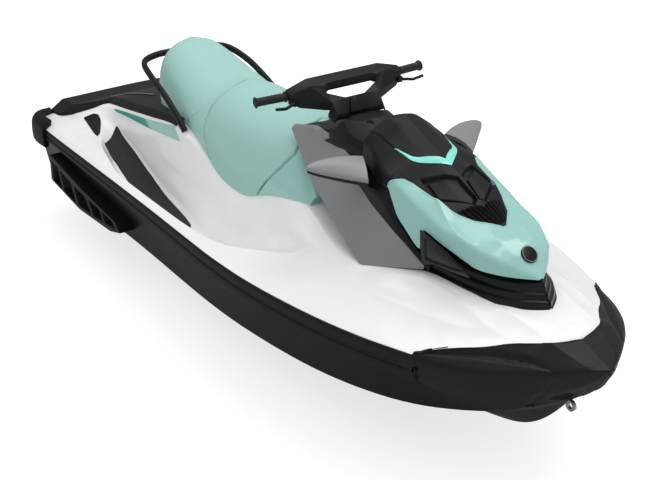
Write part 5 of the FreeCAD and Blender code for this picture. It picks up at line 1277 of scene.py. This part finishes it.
cover_corners = {
    "C": (1962, 0, 998, 60), "D": (1964, 45, 998, 60), "E": (1990, 104, 998, 60), "F": (2060, 0, 1010, 60),
    "G": (2056, 60, 1004, 60), "H": (2036, 122, 972, 40), "I": (2160, 0, 992, 60), "J": (2160, 70, 984, 60),
    "K": (2150, 120, 960, 50), "L": (1935, 132, 935, 30), "N": (2048, 138, 936, 30), "O": (2150, 136, 936, 30)}
cover_faces = ("CFGD", "DGE", "GHE", "EHNL", "FIJG", "GJKH", "HKON")
fit(faceted("neck_cover", cover_corners, cover_faces, moulded_black), "craft", "trim_black")
visor_corners = {
    "A": (2071, 0, 1016, 34), "B": (2071, 37, 1016, 34), "C": (2053, 74, 992, 34), "D": (2057, 77, 978, 34),
    "E": (2098, 27, 997, 40), "F": (2098, 0, 997, 40), "G": (2112, 0, 955, 20), "H": (2112, 27, 955, 20),
    "I": (2070, 82, 945, 20)}
visor_faces = ("AFEB", "BEDC", "FGHE", "EHID")
fit(faceted("neck_visor", visor_corners, visor_faces, moulded_black), "craft", "trim_black")

# %% [markdown]
# ## Grips
# Each grip is a rubber sleeve pushed over the end of the bar. It is a tube round a straight core, with a
# raised flange at each end and shallow grooves that twist along it, worked out as one wave of the angle
# and the distance.

# %% Grips
GRIP_INNER, GRIP_OUTER = np.array([1841.0, 262.0, 1079.0]), np.array([1823.0, 390.0, 1075.0])
along_grip = np.linspace(0, 1, 120)
around = np.arange(48) * 2 * np.pi / 48
groove = np.sin(around[None] * 2 + along_grip[:, None] * 34) ** 8
flange = np.exp(-((along_grip - 0.03) / 0.02) ** 2) + np.exp(-((along_grip - 0.97) / 0.02) ** 2)
GRIP_RADIUS, FLANGE_RISE, GRIP_GROOVE = 16.5, 5.5, 1.6
radius = GRIP_RADIUS + FLANGE_RISE * flange[:, None] - GRIP_GROOVE * groove * (1 - np.minimum(flange, 1))[:, None]
radius = radius * np.where((along_grip < 0.002) | (along_grip > 0.998), 0.8, 1)[:, None]
grip_axis = (GRIP_OUTER - GRIP_INNER) / np.linalg.norm(GRIP_OUTER - GRIP_INNER)
grip_side = np.cross(grip_axis, (0, 0, 1))
grip_side /= np.linalg.norm(grip_side)
grip_rise = np.cross(grip_side, grip_axis)
grip_core = GRIP_INNER + (GRIP_OUTER - GRIP_INNER) * along_grip[:, None]
grip_grid = grip_core[:, None] + radius[..., None] * (np.cos(around)[None, :, None] * grip_side
                                                      + np.sin(around)[None, :, None] * grip_rise)
for side, word in SIDES:
    grip = closed_form("grip_sleeve_" + word, grip_grid * [1, side, 1], grip_rubber, crease=40)
    fit(grip, "bars", "grip_rubber", "grip_" + word)
print("grip grid", grip_grid.shape)

# %% [markdown]
# ## Grab handle
# A black bar loops round the back of the seat for the passenger's hands. Its section is a flattened oval
# that follows a smooth path.

# %% Grab handle
grab_points = [(0.3060, 0.418, 0.672), (0.2800, 0.420, 0.735), (0.2500, 0.412, 0.782), (0.2110, 0.400, 0.824),
               (0.1720, 0.352, 0.852), (0.1560, 0.215, 0.860), (0.1530, 0.0, 0.860)]
grab_half = [(x * LENGTH, y * HALF_BEAM, z * BODY_HEIGHT) for x, y, z in grab_points]
grab_path = curve_through(grab_half + [(x, -y, z) for x, y, z in grab_half[-2::-1]], 160)
grab = closed_form("grab_rail", swept(grab_path, oval(13, 15, 20, 2.4)), moulded_black, crease=50)
fit(grab, "craft", "trim_black", "grab_handle")
print("grab rail length", path_length(grab_path), "mm")

# %% [markdown]
# ## Floor, light and camera
# The craft stands on a plain pale floor at the foot of its keel. One large soft lamp hangs high over the
# port bow, a second over the stern, and a faint one stands off the starboard bow, in a bright plain
# world. The floor glows for the camera only, and reflections see a dimmer world than the eye does, which
# keeps the black mouldings dark. The camera is worked out from the photograph: its place, its turn and
# its focal length in pixels.

# %% Stage
FLOOR_GAP, FLOOR_REACH, FLOOR_LIFT = 0.001, 30, 0.70
floor_corners = [(x * FLOOR_REACH, y * FLOOR_REACH, KEEL - FLOOR_GAP) for x, y in ((-1, -1), (1, -1), (1, 1), (-1, 1))]
floor_mesh = bpy.data.meshes.new("studio_floor")
floor_mesh.from_pydata(floor_corners, [], [(0, 1, 2, 3)])
floor = bpy.data.objects.new("studio_floor", floor_mesh)
bpy.context.scene.collection.objects.link(floor)
paper, tree, shader = blank_material("studio_paper", "#C4C4C4", 0.9)
shader.inputs["Specular IOR Level"].default_value = 0.0
rays = node(tree, "ShaderNodeLightPath")
lift = node(tree, "ShaderNodeMath", {"operation": "MULTIPLY"}, {1: FLOOR_LIFT}, {0: rays.outputs["Is Camera Ray"]})
shader.inputs["Emission Color"].default_value = (1, 1, 1, 1)
tree.links.new(lift.outputs[0], shader.inputs["Emission Strength"])
floor_mesh.materials.append(paper)

world = bpy.data.worlds.new("studio_world")
bpy.context.scene.world = world
world.use_nodes = True
tree = world.node_tree
backdrop = tree.nodes["Background"]
rays = node(tree, "ShaderNodeLightPath")
seen = node(tree, "ShaderNodeMath", {"operation": "MAXIMUM"}, None,
            {0: rays.outputs["Is Camera Ray"], 1: rays.outputs["Is Transmission Ray"]})
GLOSSY_LEVEL, DIFFUSE_LEVEL = 0.30, 0.78
soft_light = node(tree, "ShaderNodeMapRange", None, {"To Min": GLOSSY_LEVEL, "To Max": DIFFUSE_LEVEL},
                  {"Value": rays.outputs["Is Diffuse Ray"]})
level = node(tree, "ShaderNodeMath", {"operation": "MAXIMUM"}, None,
             {0: seen.outputs[0], 1: soft_light.outputs["Result"]})
backdrop.inputs["Color"].default_value = (1, 1, 1, 1)
tree.links.new(level.outputs["Value"], backdrop.inputs["Strength"])


def level_axes(back):
    """Right and up of something held level that looks along minus back, by two cross products."""
    right = np.cross((0, 0, 1), back)
    right /= np.linalg.norm(right)
    return right, np.cross(back, right)


def world_matrix(right, upward, back, place):
    """Four by four matrix whose columns are three axes and a place in metres."""
    turn = np.eye(4)
    turn[:3] = np.stack([right, upward, back, place], axis=1)
    return Matrix(turn.tolist())


def lamp(name, place, aim, size, power):
    """Square area lamp at a place in metres, turned towards a point."""
    light = bpy.data.lights.new(name, "AREA")
    light.shape, light.size, light.energy = "SQUARE", size, power
    made = bpy.data.objects.new(name, light)
    back = np.array(place, float) - np.array(aim, float)
    back /= np.linalg.norm(back)
    made.matrix_world = world_matrix(*level_axes(back), back, place)
    bpy.context.scene.collection.objects.link(made)


lamp("key_lamp", (1.6, 1.9, 4.6), (0.2, 0, 0.3), 2.6, 70)
lamp("fill_lamp", (3.5, -3.5, 2.2), (0.3, 0, 0.2), 3.0, 6)
lamp("top_lamp", (-1.6, 0.6, 4.5), (-0.4, 0, 0.3), 3.0, 42)

# %% Camera from the photograph
AZIMUTH, ELEVATION, ROLL = math.radians(-34.93852), math.radians(26.64412), math.radians(0.32546)
FOCAL_PX, PHOTO_WIDTH, SENSOR = 1224.368, 661, 36.0
CAMERA_AT = (5497.269, -2609.459, 2657.835)
back = np.array([math.cos(ELEVATION) * math.cos(AZIMUTH), math.cos(ELEVATION) * math.sin(AZIMUTH),
                 math.sin(ELEVATION)])
right, upward = level_axes(back)
rolled_right = math.cos(ROLL) * right + math.sin(ROLL) * upward
rolled_up = -math.sin(ROLL) * right + math.cos(ROLL) * upward
view = bpy.data.cameras.new("photo_camera")
view.sensor_width = SENSOR
view.lens = FOCAL_PX * SENSOR / PHOTO_WIDTH
camera = bpy.data.objects.new("photo_camera", view)
camera.matrix_world = world_matrix(rolled_right, rolled_up, back, placed(CAMERA_AT))
bpy.context.scene.collection.objects.link(camera)
bpy.context.scene.camera = camera
bpy.context.scene.view_settings.view_transform = "Standard"
print("lens", round(view.lens, 2), "mm")
